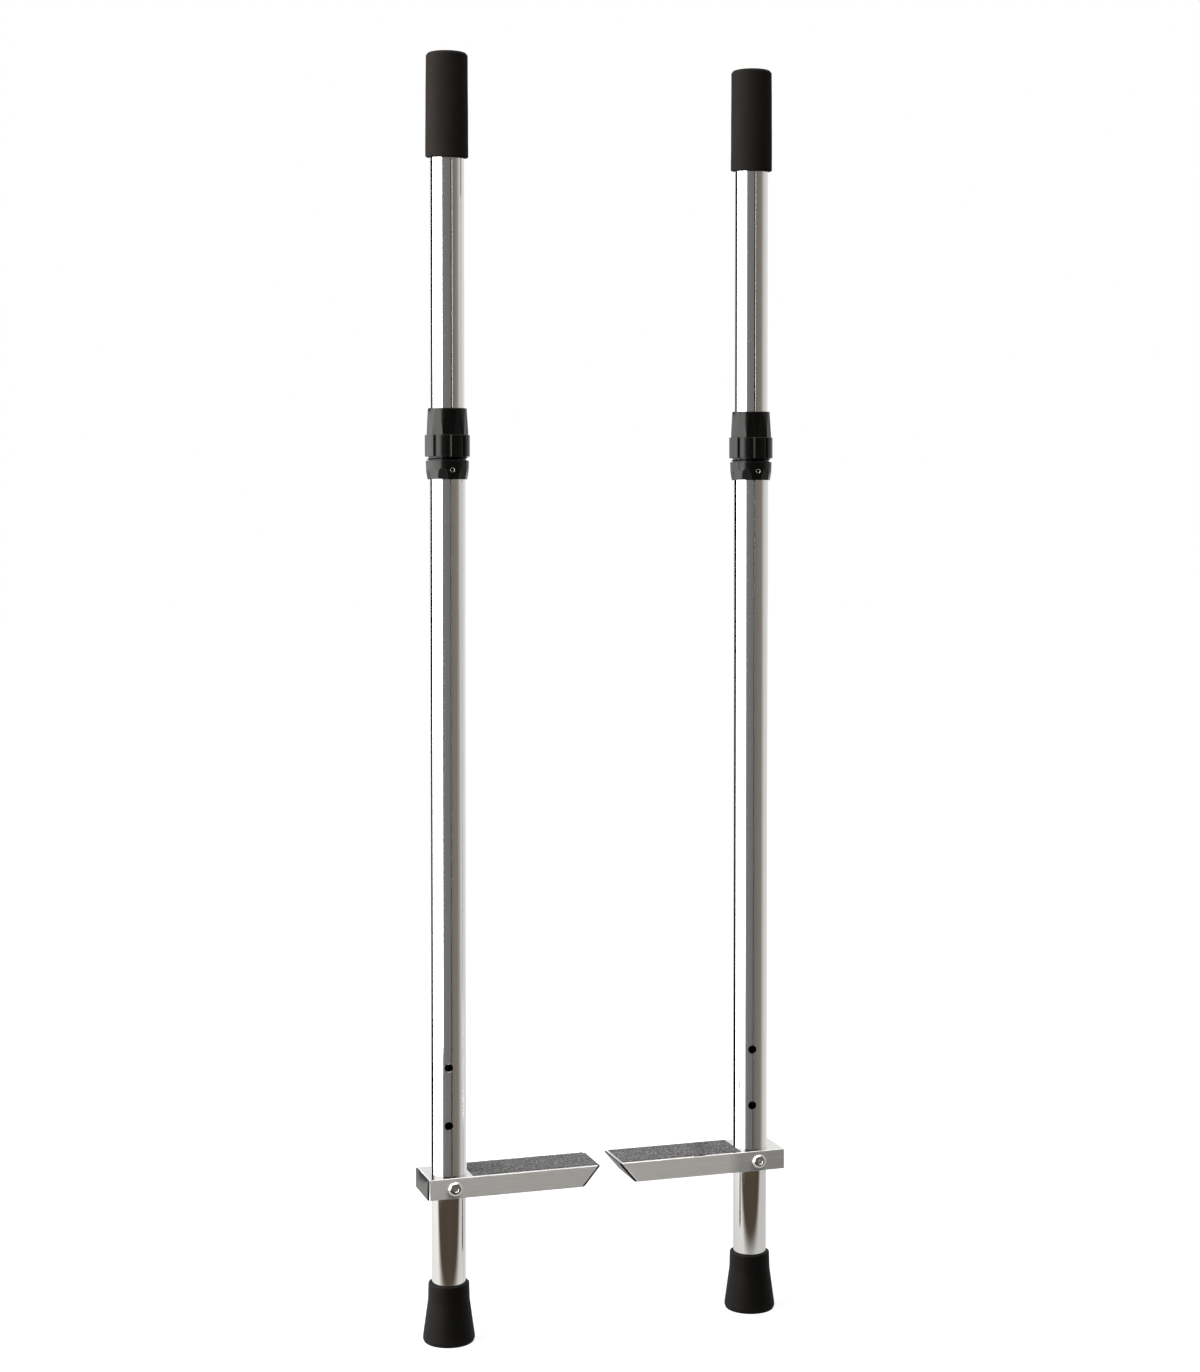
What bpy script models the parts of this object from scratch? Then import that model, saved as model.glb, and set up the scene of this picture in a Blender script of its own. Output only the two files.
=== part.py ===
"""A pair of aluminium stilts: telescopic poles with twist clamps, footrests, rubber feet and foam grips.

Metres, +Z up. X runs along the pair, with both footrests pointing inwards. The bolt heads face -Y.
Each stilt hangs on an empty that stands on its pole's axis, so every piece of a stilt has its origin on
the axis that its upper pole slides along and its clamp nut turns about.
"""

import math

import bmesh
import bpy
from mathutils import Matrix, Vector

MM = 0.001

# ---------------------------------------------------------------- driving dimensions (mm)
POLE_SPACING = 316.6      # axis to axis
AXIS_Y = -5.1             # poles sit a little forward, so the whole pair is centred on the origin
STEPS = 24                # facets round the tubes
CLAMP_STEPS = 33          # facets round the clamp pieces

MAIN_R, MAIN_BORE_R = 17.6, 16.85
MAIN_Z = (147.0, 869.7)
UPPER_R, UPPER_BORE_R = 16.75, 15.5
UPPER_Z = (600.3, 1249.0)
FOOT_R, FOOT_BORE_R = 16.75, 15.25
FOOT_Z = (8.1, 330.0)

HOLE_R = 4.2
HOLE_PITCH = 57.0
SPARE_HOLE_TURN = -13.0   # degrees; the spare holes are drilled a little off the bolt's line
SPARE_HOLE_RISE = {"left": 2.3, "right": -2.1}   # and the two poles are not drilled at quite the same heights

BEAM_W, BEAM_H, BEAM_WALL = 50.0, 20.0, 1.5
BEAM_Z = 146.5            # underside
BEAM_MID = BEAM_Z + BEAM_H / 2
BEAM_TOP = BEAM_Z + BEAM_H
BEAM_OUT = -25.1          # outer end of the aluminium, from the pole's axis
TIP_MID = 140.7           # inner plug's outer face, half way up
TIP_LEAN = 17.0 / 20.0    # how far that face leans inwards per unit of height
FLANGE_OUT = 2.3
FLANGE_IN = 3.1           # measured along the beam
FLUSH_PLUG = ("right",)    # stilts whose outer plug has no flange and sits flush in a slightly longer beam
GAP = 0.3                 # between pieces that touch
POLE_HOLE_R = 18.0        # hole in the beam for the pole

PAD_U = (18.6, 144.8)
PAD_W = 46.6
PAD_T = 0.9

BOLT_R = 3.95
BOLT_HEAD_R = 7.0
BOLT_HEAD_H = 4.2
SOCKET_AF = 5.0
WASHER_T = 1.5
CAP_NUT_AF = 13.0
CAP_NUT_L = 12.6

COLLAR_Z = (845.0, 863.2)
COLLAR_R = 20.9
NECK_R, NECK_TOP = 19.3, 884.0
COLLAR_SCREW_Z = 854.0
COLLAR_SCREW_R = 2.4

NUT_Z = (867.0, 914.0)
NUT_RING_TOP = 888.0
NUT_RING_R = 21.95
NUT_CONE_R = (20.5, 18.9)
NUT_FACETS = 11
COLLAR_FACETS = 12
FLUTES = 9

GRIP_Z = (1155.0, 1258.0)
GRIP_R, GRIP_BORE_R = 20.6, 16.95

FERRULE_H = 58.0
FERRULE_BASE_R, FERRULE_RIM_R, FERRULE_BORE_R = 25.6, 20.5, 16.9
FLARE_TOP = 40.5          # where the ferrule's rim turns into its cone
FERRULE_FLOOR = 6.0       # rubber under the disc

# ---------------------------------------------------------------- a clean scene
for old in list(bpy.data.objects):
    bpy.data.objects.remove(old, do_unlink=True)

pieces = bpy.data.collections.new("aluminium_stilts")
cutters = bpy.data.collections.new("stilt_cutters")
bpy.context.scene.collection.children.link(pieces)
bpy.context.scene.collection.children.link(cutters)


def material(name, colour, roughness, metallic):
    mat = bpy.data.materials.new(name)
    mat.use_nodes = True
    shader = mat.node_tree.nodes["Principled BSDF"]
    shader.inputs["Base Color"].default_value = (*colour, 1.0)
    shader.inputs["Roughness"].default_value = roughness
    shader.inputs["Metallic"].default_value = metallic
    return mat


POLISHED = (0.80, 0.80, 0.81)
BLACK = (0.018, 0.018, 0.019)
materials = {
    "ferrule": material("ferrule_rubber", (0.02, 0.02, 0.021), 0.62, 0.0),
    "ferrule_disc": material("ferrule_disc_steel", (0.55, 0.55, 0.56), 0.4, 1.0),
    "foot_tube": material("foot_tube_aluminium", POLISHED, 0.12, 1.0),
    "main_tube": material("main_tube_aluminium", POLISHED, 0.10, 1.0),
    "footrest_beam": material("beam_aluminium", (0.70, 0.69, 0.67), 0.30, 1.0),
    "tread_pad": material("tread_grit", (0.10, 0.10, 0.105), 0.9, 0.0),
    "outer_end_plug": material("outer_plug_plastic", BLACK, 0.35, 0.0),
    "inner_end_plug": material("inner_plug_plastic", BLACK, 0.35, 0.0),
    "footrest_bolt": material("bolt_steel", (0.72, 0.72, 0.70), 0.16, 1.0),
    "bolt_washer": material("washer_steel", (0.62, 0.62, 0.61), 0.28, 1.0),
    "cap_nut": material("cap_nut_steel", (0.70, 0.70, 0.69), 0.18, 1.0),
    "clamp_collar": material("collar_plastic", BLACK, 0.38, 0.0),
    "collar_screw": material("collar_screw_steel", (0.70, 0.70, 0.69), 0.2, 1.0),
    "clamp_collet": material("collet_plastic", (0.05, 0.05, 0.052), 0.45, 0.0),
    "slip_ring": material("slip_ring_plastic", (0.75, 0.75, 0.72), 0.4, 0.0),
    "clamp_nut": material("nut_plastic", BLACK, 0.38, 0.0),
    "upper_tube": material("upper_tube_aluminium", POLISHED, 0.10, 1.0),
    "guide_bush": material("bush_plastic", (0.06, 0.06, 0.062), 0.45, 0.0),
    "grip_plug": material("grip_plug_plastic", (0.05, 0.05, 0.052), 0.5, 0.0),
    "foam_grip": material("grip_foam", (0.022, 0.022, 0.023), 0.85, 0.0),
}


# ---------------------------------------------------------------- modelling helpers
def add_object(name, mesh, parent, group):
    obj = bpy.data.objects.new(name, mesh)
    group.objects.link(obj)
    obj.parent = parent
    if group is cutters:
        obj.hide_render = True
        obj.display_type = "WIRE"
    return obj


def finish_piece(obj, kind):
    obj.data.materials.append(materials[kind])
    return obj


def turned(name, profile, parent, group, steps=STEPS, place=None):
    """A profile of (radius, height) points in mm, turned about Z. It runs down the outer side."""
    mesh = bpy.data.meshes.new(name)
    bm = bmesh.new()
    points = [bm.verts.new((r * MM, 0.0, z * MM)) for r, z in profile]
    for a, b in zip(points, points[1:]):
        bm.edges.new((a, b))
    if profile[0][0] > 0 and profile[-1][0] > 0:
        bm.edges.new((points[-1], points[0]))
    bm.to_mesh(mesh)
    bm.free()
    obj = add_object(name, mesh, parent, group)
    if place is not None:
        obj.matrix_local = place
    turn = obj.modifiers.new("Turn", "SCREW")
    turn.axis = "Z"
    turn.angle = 2 * math.pi
    turn.steps = steps
    turn.render_steps = steps
    turn.use_merge_vertices = True
    turn.merge_threshold = 0.000001
    turn.use_smooth_shade = True
    return obj


def ring_profile(r_out, r_in, z_low, z_high):
    return [(r_out, z_high), (r_out, z_low), (r_in, z_low), (r_in, z_high)]


def prism(name, sides, r_low, r_high, z_low, z_high, parent, group, place=None, turn=0.0):
    """A prism or pyramid frustum about Z, radii to its corners, in mm."""
    mesh = bpy.data.meshes.new(name)
    bm = bmesh.new()
    bmesh.ops.create_cone(
        bm, cap_ends=True, cap_tris=False, segments=sides,
        radius1=r_low * MM, radius2=r_high * MM, depth=(z_high - z_low) * MM,
    )
    bmesh.ops.rotate(bm, verts=bm.verts, cent=(0, 0, 0), matrix=Matrix.Rotation(turn, 3, "Z"))
    bmesh.ops.translate(bm, verts=bm.verts, vec=(0, 0, (z_low + z_high) / 2 * MM))
    bm.to_mesh(mesh)
    bm.free()
    obj = add_object(name, mesh, parent, group)
    if place is not None:
        obj.matrix_local = place
    return obj


def block(name, low, high, parent, group, edge=0.0, lean=False, inward=1):
    """A box between two corners (u along the beam, v across, z up; mm). Its long edges can be rounded,
    and it can lean with the footrest's mitred end. inward is +1 where the footrest points to +X."""
    mesh = bpy.data.meshes.new(name)
    bm = bmesh.new()
    bmesh.ops.create_cube(bm, size=1.0)
    size = [h - l for l, h in zip(low, high)]
    mid = [(h + l) / 2 for l, h in zip(low, high)]
    bmesh.ops.scale(bm, verts=bm.verts, vec=[s * MM for s in size])
    bmesh.ops.translate(bm, verts=bm.verts, vec=[m * MM for m in mid])
    if edge > 0:
        along = [e for e in bm.edges if abs((e.verts[0].co - e.verts[1].co).normalized().x) > 0.9]
        bmesh.ops.bevel(bm, geom=along, offset=edge * MM, segments=3, profile=0.5, affect="EDGES")
    if lean:
        shift = Vector((-BEAM_MID * MM * TIP_LEAN, 0, 0))
        shear = Matrix(((1, 0, TIP_LEAN), (0, 1, 0), (0, 0, 1)))
        bmesh.ops.transform(bm, matrix=shear.to_4x4(), verts=bm.verts)
        bmesh.ops.translate(bm, verts=bm.verts, vec=shift)
    if inward < 0:
        bmesh.ops.rotate(bm, verts=bm.verts, cent=(0, 0, 0), matrix=Matrix.Rotation(math.pi, 3, "Z"))
    bm.to_mesh(mesh)
    bm.free()
    return add_object(name, mesh, parent, group)


def cut(obj, cutter, operation="DIFFERENCE"):
    mod = obj.modifiers.new(operation.title(), "BOOLEAN")
    mod.operation = operation
    mod.solver = "EXACT"
    mod.object = cutter


def facing(angle_deg, z):
    """A placement whose local +Z points out level at the given angle from -Y (towards +X), z in mm."""
    a = math.radians(angle_deg)
    return Matrix.Translation((0, 0, z * MM)) @ Matrix.Rotation(a, 4, "Z") @ Matrix.Rotation(math.pi / 2, 4, "X")


def hexagon(flats):
    return flats / 2 / math.cos(math.pi / 6)


# ---------------------------------------------------------------- one stilt
def ferrule_profile():
    """A cup of rubber: a nearly straight rim, then a cone that widens to the floor."""
    return [(0.0, FERRULE_FLOOR), (FERRULE_BORE_R, FERRULE_FLOOR), (FERRULE_BORE_R, FERRULE_H),
            (FERRULE_RIM_R - 0.9, FERRULE_H), (FERRULE_RIM_R - 0.25, FERRULE_H - 0.9), (FERRULE_RIM_R + 0.1, FLARE_TOP),
            (FERRULE_BASE_R - 0.2, 5.0), (FERRULE_BASE_R, 3.0), (FERRULE_BASE_R - 0.25, 1.2), (FERRULE_BASE_R - 1.1, 0.0), (0.0, 0.0)]


def button_head_profile():
    """A button-head screw along Z: its head's crown is up, its seat is at z = 0."""
    crown = []
    count = 5
    for i in range(count + 1):
        a = math.radians(90 - 62 * i / count)
        crown.append((BOLT_HEAD_R / math.cos(math.radians(28)) * math.cos(a),
                      BOLT_HEAD_H * (math.sin(a) - math.sin(math.radians(28))) / (1 - math.sin(math.radians(28)))))
    crown[0] = (0.0, BOLT_HEAD_H)
    crown[-1] = (BOLT_HEAD_R, 0.35)
    length = BEAM_W + 2 * GAP + WASHER_T + GAP + 9.4
    return crown + [(BOLT_HEAD_R, 0.0), (BOLT_R, 0.0), (BOLT_R, -length + 0.8), (BOLT_R - 0.8, -length), (0.0, -length)]


def build_stilt(side, inward, x):
    base = bpy.data.objects.new(side + "_stilt", None)
    pieces.objects.link(base)
    base.location = (x * MM, AXIS_Y * MM, 0.0)

    def n(kind):
        return side + "_" + kind

    def c(kind):
        return "cut_" + side + "_" + kind

    # holes through the pole: the bolt's, and the two spare ones above it
    hole_cutters = []
    for i, turn in enumerate((0.0, SPARE_HOLE_TURN, SPARE_HOLE_TURN)):
        hole_cutters.append(prism(c("hole_%d" % i), 14, HOLE_R, HOLE_R, -60, 60, base, cutters,
                                  place=facing(turn, BEAM_MID + i * HOLE_PITCH + (SPARE_HOLE_RISE[side] if i else 0.0))))

    # foot
    finish_piece(turned(n("ferrule"), ferrule_profile(), base, pieces, steps=30), "ferrule")
    finish_piece(turned(n("ferrule_disc"), [(0.0, FERRULE_FLOOR + GAP + 1.5), (16.5, FERRULE_FLOOR + GAP + 1.5),
                                            (16.5, FERRULE_FLOOR + GAP), (0.0, FERRULE_FLOOR + GAP)], base, pieces), "ferrule_disc")

    # poles
    foot = turned(n("foot_tube"), ring_profile(FOOT_R, FOOT_BORE_R, *FOOT_Z), base, pieces)
    main = turned(n("main_tube"), ring_profile(MAIN_R, MAIN_BORE_R, *MAIN_Z), base, pieces)
    for tool in hole_cutters:
        cut(foot, tool)
        cut(main, tool)
    finish_piece(foot, "foot_tube")
    finish_piece(main, "main_tube")
    finish_piece(turned(n("upper_tube"), ring_profile(UPPER_R, UPPER_BORE_R, *UPPER_Z), base, pieces), "upper_tube")
    finish_piece(turned(n("guide_bush"), [(15.3, 618.0), (15.3, UPPER_Z[0] - GAP), (UPPER_R, UPPER_Z[0] - GAP), (UPPER_R, 594.0),
                                          (12.5, 594.0), (12.5, 618.0)], base, pieces), "guide_bush")
    top = UPPER_Z[1]
    finish_piece(turned(n("grip_plug"), [(0.0, top + 2.2), (16.1, top + 2.2), (UPPER_R, top + 1.6), (UPPER_R, top + GAP), (15.3, top + GAP),
                                         (15.3, top - 17.0), (12.5, top - 17.0), (12.5, top - 1.8), (0.0, top - 1.8)],
                        base, pieces), "grip_plug")

    # grip: a foam sleeve with a closed, gently domed end
    z0, z1 = GRIP_Z
    finish_piece(turned(n("foam_grip"), [(0.0, z1), (12.0, z1 - 0.4), (17.4, z1 - 1.2), (19.7, z1 - 2.6), (GRIP_R, z1 - 5.2),
                                         (GRIP_R, z0 + 1.2), (GRIP_R - 1.2, z0), (GRIP_BORE_R, z0), (GRIP_BORE_R, top + 2.6),
                                         (0.0, top + 2.6)], base, pieces), "foam_grip")

    # footrest beam: a rectangular tube, square at its outer end and mitred at its inner end
    flush = side in FLUSH_PLUG
    beam_out = BEAM_OUT - GAP - FLANGE_OUT if flush else BEAM_OUT
    beam = block(n("footrest_beam"), (beam_out, -BEAM_W / 2, BEAM_Z), (TIP_MID - FLANGE_IN - GAP, BEAM_W / 2, BEAM_TOP),
                 base, pieces, edge=1.2, inward=inward)
    for v in beam.data.vertices:
        if v.co.x * inward > 0:
            v.co.x += inward * (v.co.z - BEAM_MID * MM) * TIP_LEAN
    hollow = block(c("hollow"), (BEAM_OUT - 20, -BEAM_W / 2 + BEAM_WALL, BEAM_Z + BEAM_WALL),
                   (TIP_MID + 40, BEAM_W / 2 - BEAM_WALL, BEAM_TOP - BEAM_WALL), base, cutters, inward=inward)
    pole_hole = prism(c("pole_hole"), STEPS, POLE_HOLE_R, POLE_HOLE_R, BEAM_Z - 20, BEAM_TOP + 20, base, cutters)
    cut(beam, hollow)
    cut(beam, pole_hole)
    cut(beam, hole_cutters[0])
    finish_piece(beam, "footrest_beam")

    # tread
    finish_piece(block(n("tread_pad"), (PAD_U[0], -PAD_W / 2, BEAM_TOP + GAP), (PAD_U[1], PAD_W / 2, BEAM_TOP + GAP + PAD_T),
                       base, pieces, edge=0.25, inward=inward), "tread_pad")

    # end plugs: a flange over the tube's end, and a hollow stem inside it; a flush plug is the stem alone
    inside_w = BEAM_W / 2 - BEAM_WALL - GAP
    inside_z = (BEAM_Z + BEAM_WALL + GAP, BEAM_TOP - BEAM_WALL - GAP)
    wall = 1.6
    u_face = BEAM_OUT - GAP
    if flush:
        plug = block(n("outer_end_plug"), (beam_out, -inside_w, inside_z[0]), (-19.4, inside_w, inside_z[1]), base, pieces,
                     edge=0.5, inward=inward)
    else:
        plug = block(n("outer_end_plug"), (u_face - FLANGE_OUT, -BEAM_W / 2, BEAM_Z), (u_face, BEAM_W / 2, BEAM_TOP), base, pieces,
                     edge=1.2, inward=inward)
        cut(plug, block(c("outer_stem"), (u_face - 1.0, -inside_w, inside_z[0]), (-19.4, inside_w, inside_z[1]), base, cutters,
                        inward=inward), "UNION")
    void = block(c("outer_void"), (u_face + 0.6, -inside_w + wall, inside_z[0] + wall), (0.0, inside_w - wall, inside_z[1] - wall),
                 base, cutters, inward=inward)
    cut(plug, void)
    finish_piece(plug, "outer_end_plug")

    plug = block(n("inner_end_plug"), (TIP_MID - FLANGE_IN, -BEAM_W / 2, BEAM_Z), (TIP_MID, BEAM_W / 2, BEAM_TOP), base, pieces,
                 edge=1.2, lean=True, inward=inward)
    stem = block(c("inner_stem"), (TIP_MID - 17.0, -inside_w, inside_z[0]), (TIP_MID - 1.2, inside_w, inside_z[1]), base, cutters,
                 lean=True, inward=inward)
    void = block(c("inner_void"), (TIP_MID - 30.0, -inside_w + wall, inside_z[0] + wall),
                 (TIP_MID - FLANGE_IN + 0.6, inside_w - wall, inside_z[1] - wall), base, cutters, lean=True, inward=inward)
    cut(plug, stem, "UNION")
    cut(plug, void)
    finish_piece(plug, "inner_end_plug")

    # bolt, washer and closed nut across the beam
    seat = BEAM_W / 2 + GAP
    forward = Matrix.Translation((0, -seat * MM, BEAM_MID * MM)) @ Matrix.Rotation(math.pi / 2, 4, "X")
    bolt = turned(n("footrest_bolt"), button_head_profile(), base, pieces, steps=24, place=forward)
    cut(bolt, prism(c("bolt_socket"), 6, hexagon(SOCKET_AF), hexagon(SOCKET_AF), BOLT_HEAD_H - 2.6, BOLT_HEAD_H + 5, base, cutters, place=forward))
    finish_piece(bolt, "footrest_bolt")
    backward = Matrix.Translation((0, seat * MM, BEAM_MID * MM)) @ Matrix.Rotation(-math.pi / 2, 4, "X")
    finish_piece(turned(n("bolt_washer"), ring_profile(8.0, 4.3, 0.0, WASHER_T), base, pieces, steps=24, place=backward), "bolt_washer")
    nut_z = WASHER_T + GAP
    hex_h = 6.8
    cap = prism(n("cap_nut"), 6, hexagon(CAP_NUT_AF), hexagon(CAP_NUT_AF), nut_z, nut_z + hex_h, base, pieces, place=backward)
    dome_r = 6.2
    dome = [(0.0, nut_z + CAP_NUT_L)]
    for i in range(1, 6):
        a = math.radians(90 - 90 * i / 5)
        dome.append((dome_r * math.cos(a), nut_z + hex_h + (CAP_NUT_L - hex_h) * math.sin(a)))
    dome += [(dome_r, nut_z + hex_h - 1.0), (0.0, nut_z + hex_h - 1.0)]
    cut(cap, turned(c("cap_dome"), dome, base, cutters, steps=24, place=backward), "UNION")
    cut(cap, prism(c("cap_bore"), 20, 4.3, 4.3, nut_z - 5, nut_z + 10.2, base, cutters, place=backward))
    finish_piece(cap, "cap_nut")

    # twist clamp: collar with its threaded neck, set screw, collet, slip ring and nut
    z0, z1 = COLLAR_Z
    collar = turned(n("clamp_collar"), [(17.05, NECK_TOP), (NECK_R - 0.6, NECK_TOP), (NECK_R, NECK_TOP - 0.8), (NECK_R, z1), (COLLAR_R - 0.7, z1),
                                        (COLLAR_R, z1 - 0.7), (COLLAR_R, z0 + 8.5), (19.9, z0 + 0.6), (19.4, z0), (17.85, z0), (17.85, MAIN_Z[1] + GAP),
                                        (17.05, MAIN_Z[1] + GAP)], base, pieces, steps=CLAMP_STEPS)
    flat = math.cos(math.pi / COLLAR_FACETS)
    cut(collar, prism(c("collar_flats"), COLLAR_FACETS, 18.75 / flat, 27.55 / flat, z0 - 1.0, z0 + 43.0, base, cutters,
                      turn=math.radians(-90 + 180 / COLLAR_FACETS)), "INTERSECT")
    screw_out = facing(0.0, COLLAR_SCREW_Z)
    cut(collar, prism(c("collar_screw_hole"), 16, COLLAR_SCREW_R + 0.25, COLLAR_SCREW_R + 0.25, 10.0, 40.0, base, cutters, place=screw_out))
    finish_piece(collar, "clamp_collar")
    screw = turned(n("collar_screw"), [(0.0, 20.7), (COLLAR_SCREW_R - 0.3, 20.7), (COLLAR_SCREW_R, 20.4), (COLLAR_SCREW_R, 17.95), (0.0, 17.95)],
                   base, pieces, steps=16, place=screw_out)
    cut(screw, prism(c("collar_socket"), 6, hexagon(2.5), hexagon(2.5), 19.2, 30.0, base, cutters, place=screw_out))
    finish_piece(screw, "collar_screw")

    collet = turned(n("clamp_collet"), [(17.5, 904.8), (18.3, NECK_TOP + GAP), (16.95, NECK_TOP + GAP), (16.95, 904.8)], base, pieces, steps=CLAMP_STEPS)
    cut(collet, block(c("collet_slit"), (-1.1, 10.0, 870.0), (1.1, 30.0, 920.0), base, cutters))
    finish_piece(collet, "clamp_collet")
    finish_piece(turned(n("slip_ring"), ring_profile(17.55, 17.0, 905.1, 907.6), base, pieces, steps=CLAMP_STEPS), "slip_ring")

    z0, z1 = NUT_Z
    zr = NUT_RING_TOP
    nut = turned(n("clamp_nut"), [(NUT_RING_R - 0.5, zr), (NUT_RING_R, zr - 0.6), (NUT_RING_R, z0 + 0.6), (NUT_RING_R - 0.5, z0), (19.65, z0), (19.65, zr - 3.0),
                                  (18.7, zr - 3.0), (18.6, zr)], base, pieces, steps=CLAMP_STEPS)
    flutes_mesh = bpy.data.meshes.new(c("flutes"))
    bm = bmesh.new()
    for i in range(FLUTES):
        a = math.radians(-90 + 360 / FLUTES * (i + 0.77))
        made = bmesh.ops.create_cone(bm, cap_ends=True, segments=10, radius1=2.0 * MM, radius2=2.0 * MM, depth=40 * MM)
        bmesh.ops.translate(bm, verts=made["verts"], vec=(23.0 * MM * math.cos(a), 23.0 * MM * math.sin(a), (z0 + zr) / 2 * MM))
    bm.to_mesh(flutes_mesh)
    bm.free()
    cut(nut, add_object(c("flutes"), flutes_mesh, base, cutters))
    low, high = NUT_CONE_R
    cone = turned(c("nut_cone"), [(high - 0.5, z1), (high, z1 - 0.5), (low, zr), (low, zr - 1.0), (18.65, zr - 1.0), (17.9, 905.0), (17.9, 908.0),
                                  (17.1, 908.0), (17.1, z1)], base, cutters, steps=CLAMP_STEPS)
    flat = math.cos(math.pi / NUT_FACETS)
    cut(cone, prism(c("nut_flats"), NUT_FACETS, 19.75 / flat, 18.9 / flat, zr - 2.0, z1 + 2.0, base, cutters,
                    turn=math.radians(-90 + 360 / NUT_FACETS * 0.6)), "INTERSECT")
    cut(nut, cone, "UNION")
    finish_piece(nut, "clamp_nut")


build_stilt("left", 1, -POLE_SPACING / 2)
build_stilt("right", -1, POLE_SPACING / 2)
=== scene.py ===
"""The looks of a pair of aluminium stilts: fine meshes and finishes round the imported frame, a pale floor, studio light."""

import math

import bmesh
import bpy
import numpy as np
from mathutils import Matrix, Vector


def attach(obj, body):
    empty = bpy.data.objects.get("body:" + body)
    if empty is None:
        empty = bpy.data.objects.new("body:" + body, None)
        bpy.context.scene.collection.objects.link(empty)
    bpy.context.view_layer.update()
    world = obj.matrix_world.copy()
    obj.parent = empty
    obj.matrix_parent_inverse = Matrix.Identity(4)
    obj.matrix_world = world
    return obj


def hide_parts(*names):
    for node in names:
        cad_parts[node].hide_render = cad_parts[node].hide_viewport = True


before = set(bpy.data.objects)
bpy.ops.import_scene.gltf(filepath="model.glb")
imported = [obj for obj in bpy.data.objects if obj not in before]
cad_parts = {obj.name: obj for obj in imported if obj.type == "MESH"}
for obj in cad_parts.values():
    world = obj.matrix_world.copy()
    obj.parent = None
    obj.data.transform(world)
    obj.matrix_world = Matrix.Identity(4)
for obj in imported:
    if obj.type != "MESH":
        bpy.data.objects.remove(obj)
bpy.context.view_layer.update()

MM = 0.001
TAU = 2 * math.pi

# ---------------------------------------------------------------- sizes shared with the frame (mm)
HALF = 158.3              # each pole's axis from the middle of the pair
AXIS_Y = -5.1
MAIN_R, MAIN_BORE = 17.6, 16.85
MAIN_Z = (147.0, 869.7)
UPPER_R, UPPER_BORE = 16.75, 15.5
UPPER_Z = (600.3, 1249.0)
FOOT_R, FOOT_BORE = 16.75, 15.25
FOOT_Z = (8.1, 330.0)
HOLE_R = 4.2
HOLE_PITCH = 57.0
SPARE_TURN = -13.0
SPARE_RISE = {"left": 2.3, "right": -2.1}
BEAM_W, BEAM_H, BEAM_WALL = 50.0, 20.0, 1.5
BEAM_Z = 146.5
BEAM_MID = BEAM_Z + BEAM_H / 2
BEAM_TOP = BEAM_Z + BEAM_H
BEAM_OUT = -25.1
TIP_MID, TIP_LEAN = 140.7, 17.0 / 20.0
FLANGE_OUT, FLANGE_IN, GAP = 2.3, 3.1, 0.3
FLUSH_PLUG = ("right",)   # stilts whose outer plug sits flush in a slightly longer beam
PAD_U, PAD_W, PAD_T = (18.6, 144.8), 46.6, 0.9

SIDES = {"left": (-HALF, 1), "right": (HALF, -1)}
VIEW_AZ = {"left": -14.25, "right": -21.5}     # where the photograph looks from, seen from each pole


# ---------------------------------------------------------------- mesh helpers
def rounded(points, closed=True, step=8.0):
    """A polyline of (r, z, fillet radius) with its corners turned into arcs."""
    out = []
    count = len(points)
    for i, (x, z, rad) in enumerate(points):
        if rad <= 0 or (not closed and i in (0, count - 1)):
            out.append((x, z))
            continue
        p = Vector((x, z))
        a = Vector(points[(i - 1) % count][:2]) - p
        b = Vector(points[(i + 1) % count][:2]) - p
        la, lb = a.length, b.length
        a.normalize()
        b.normalize()
        angle = a.angle(b)
        if angle > math.radians(178):
            out.append((x, z))
            continue
        cut = min(rad / math.tan(angle / 2), 0.49 * la, 0.49 * lb)
        rad = cut * math.tan(angle / 2)
        centre = p + (a + b).normalized() * (rad / math.sin(angle / 2))
        start, end = p + a * cut - centre, p + b * cut - centre
        sweep = math.atan2(start.x * end.y - start.y * end.x, start.dot(end))
        n = max(2, int(abs(math.degrees(sweep)) / step) + 1)
        for k in range(n + 1):
            t = sweep * k / n
            out.append((centre.x + start.x * math.cos(t) - start.y * math.sin(t),
                        centre.y + start.x * math.sin(t) + start.y * math.cos(t)))
    return out


def refined(profile, longest, closed=True):
    """The same polyline with extra points, so that no edge is longer than the given length."""
    out = []
    n = len(profile)
    for i in range(n if closed else n - 1):
        a, b = profile[i], profile[(i + 1) % n]
        parts = max(1, int(math.ceil(math.dist(a, b) / longest)))
        for k in range(parts):
            out.append((a[0] + (b[0] - a[0]) * k / parts, a[1] + (b[1] - a[1]) * k / parts))
    if not closed:
        out.append(profile[-1])
    return out


def loft(loops, wrap=False, pole_first=None, pole_last=None):
    """Vertices and faces through a list of closed loops of equal length. Poles close the ends."""
    loops = np.asarray(loops, float)
    m, n, _ = loops.shape
    verts = [tuple(v) for v in loops.reshape(-1, 3)]
    faces = []
    rows = m if wrap else m - 1
    for i in range(rows):
        a, b = i * n, ((i + 1) % m) * n
        for j in range(n):
            k = (j + 1) % n
            faces.append((a + j, a + k, b + k, b + j))
    if pole_first is not None:
        verts.append(tuple(pole_first))
        p = len(verts) - 1
        faces += [(p, (j + 1) % n, j) for j in range(n)]
    if pole_last is not None:
        verts.append(tuple(pole_last))
        p = len(verts) - 1
        a = (m - 1) * n
        faces += [(p, a + j, a + (j + 1) % n) for j in range(n)]
    return verts, faces


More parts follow.
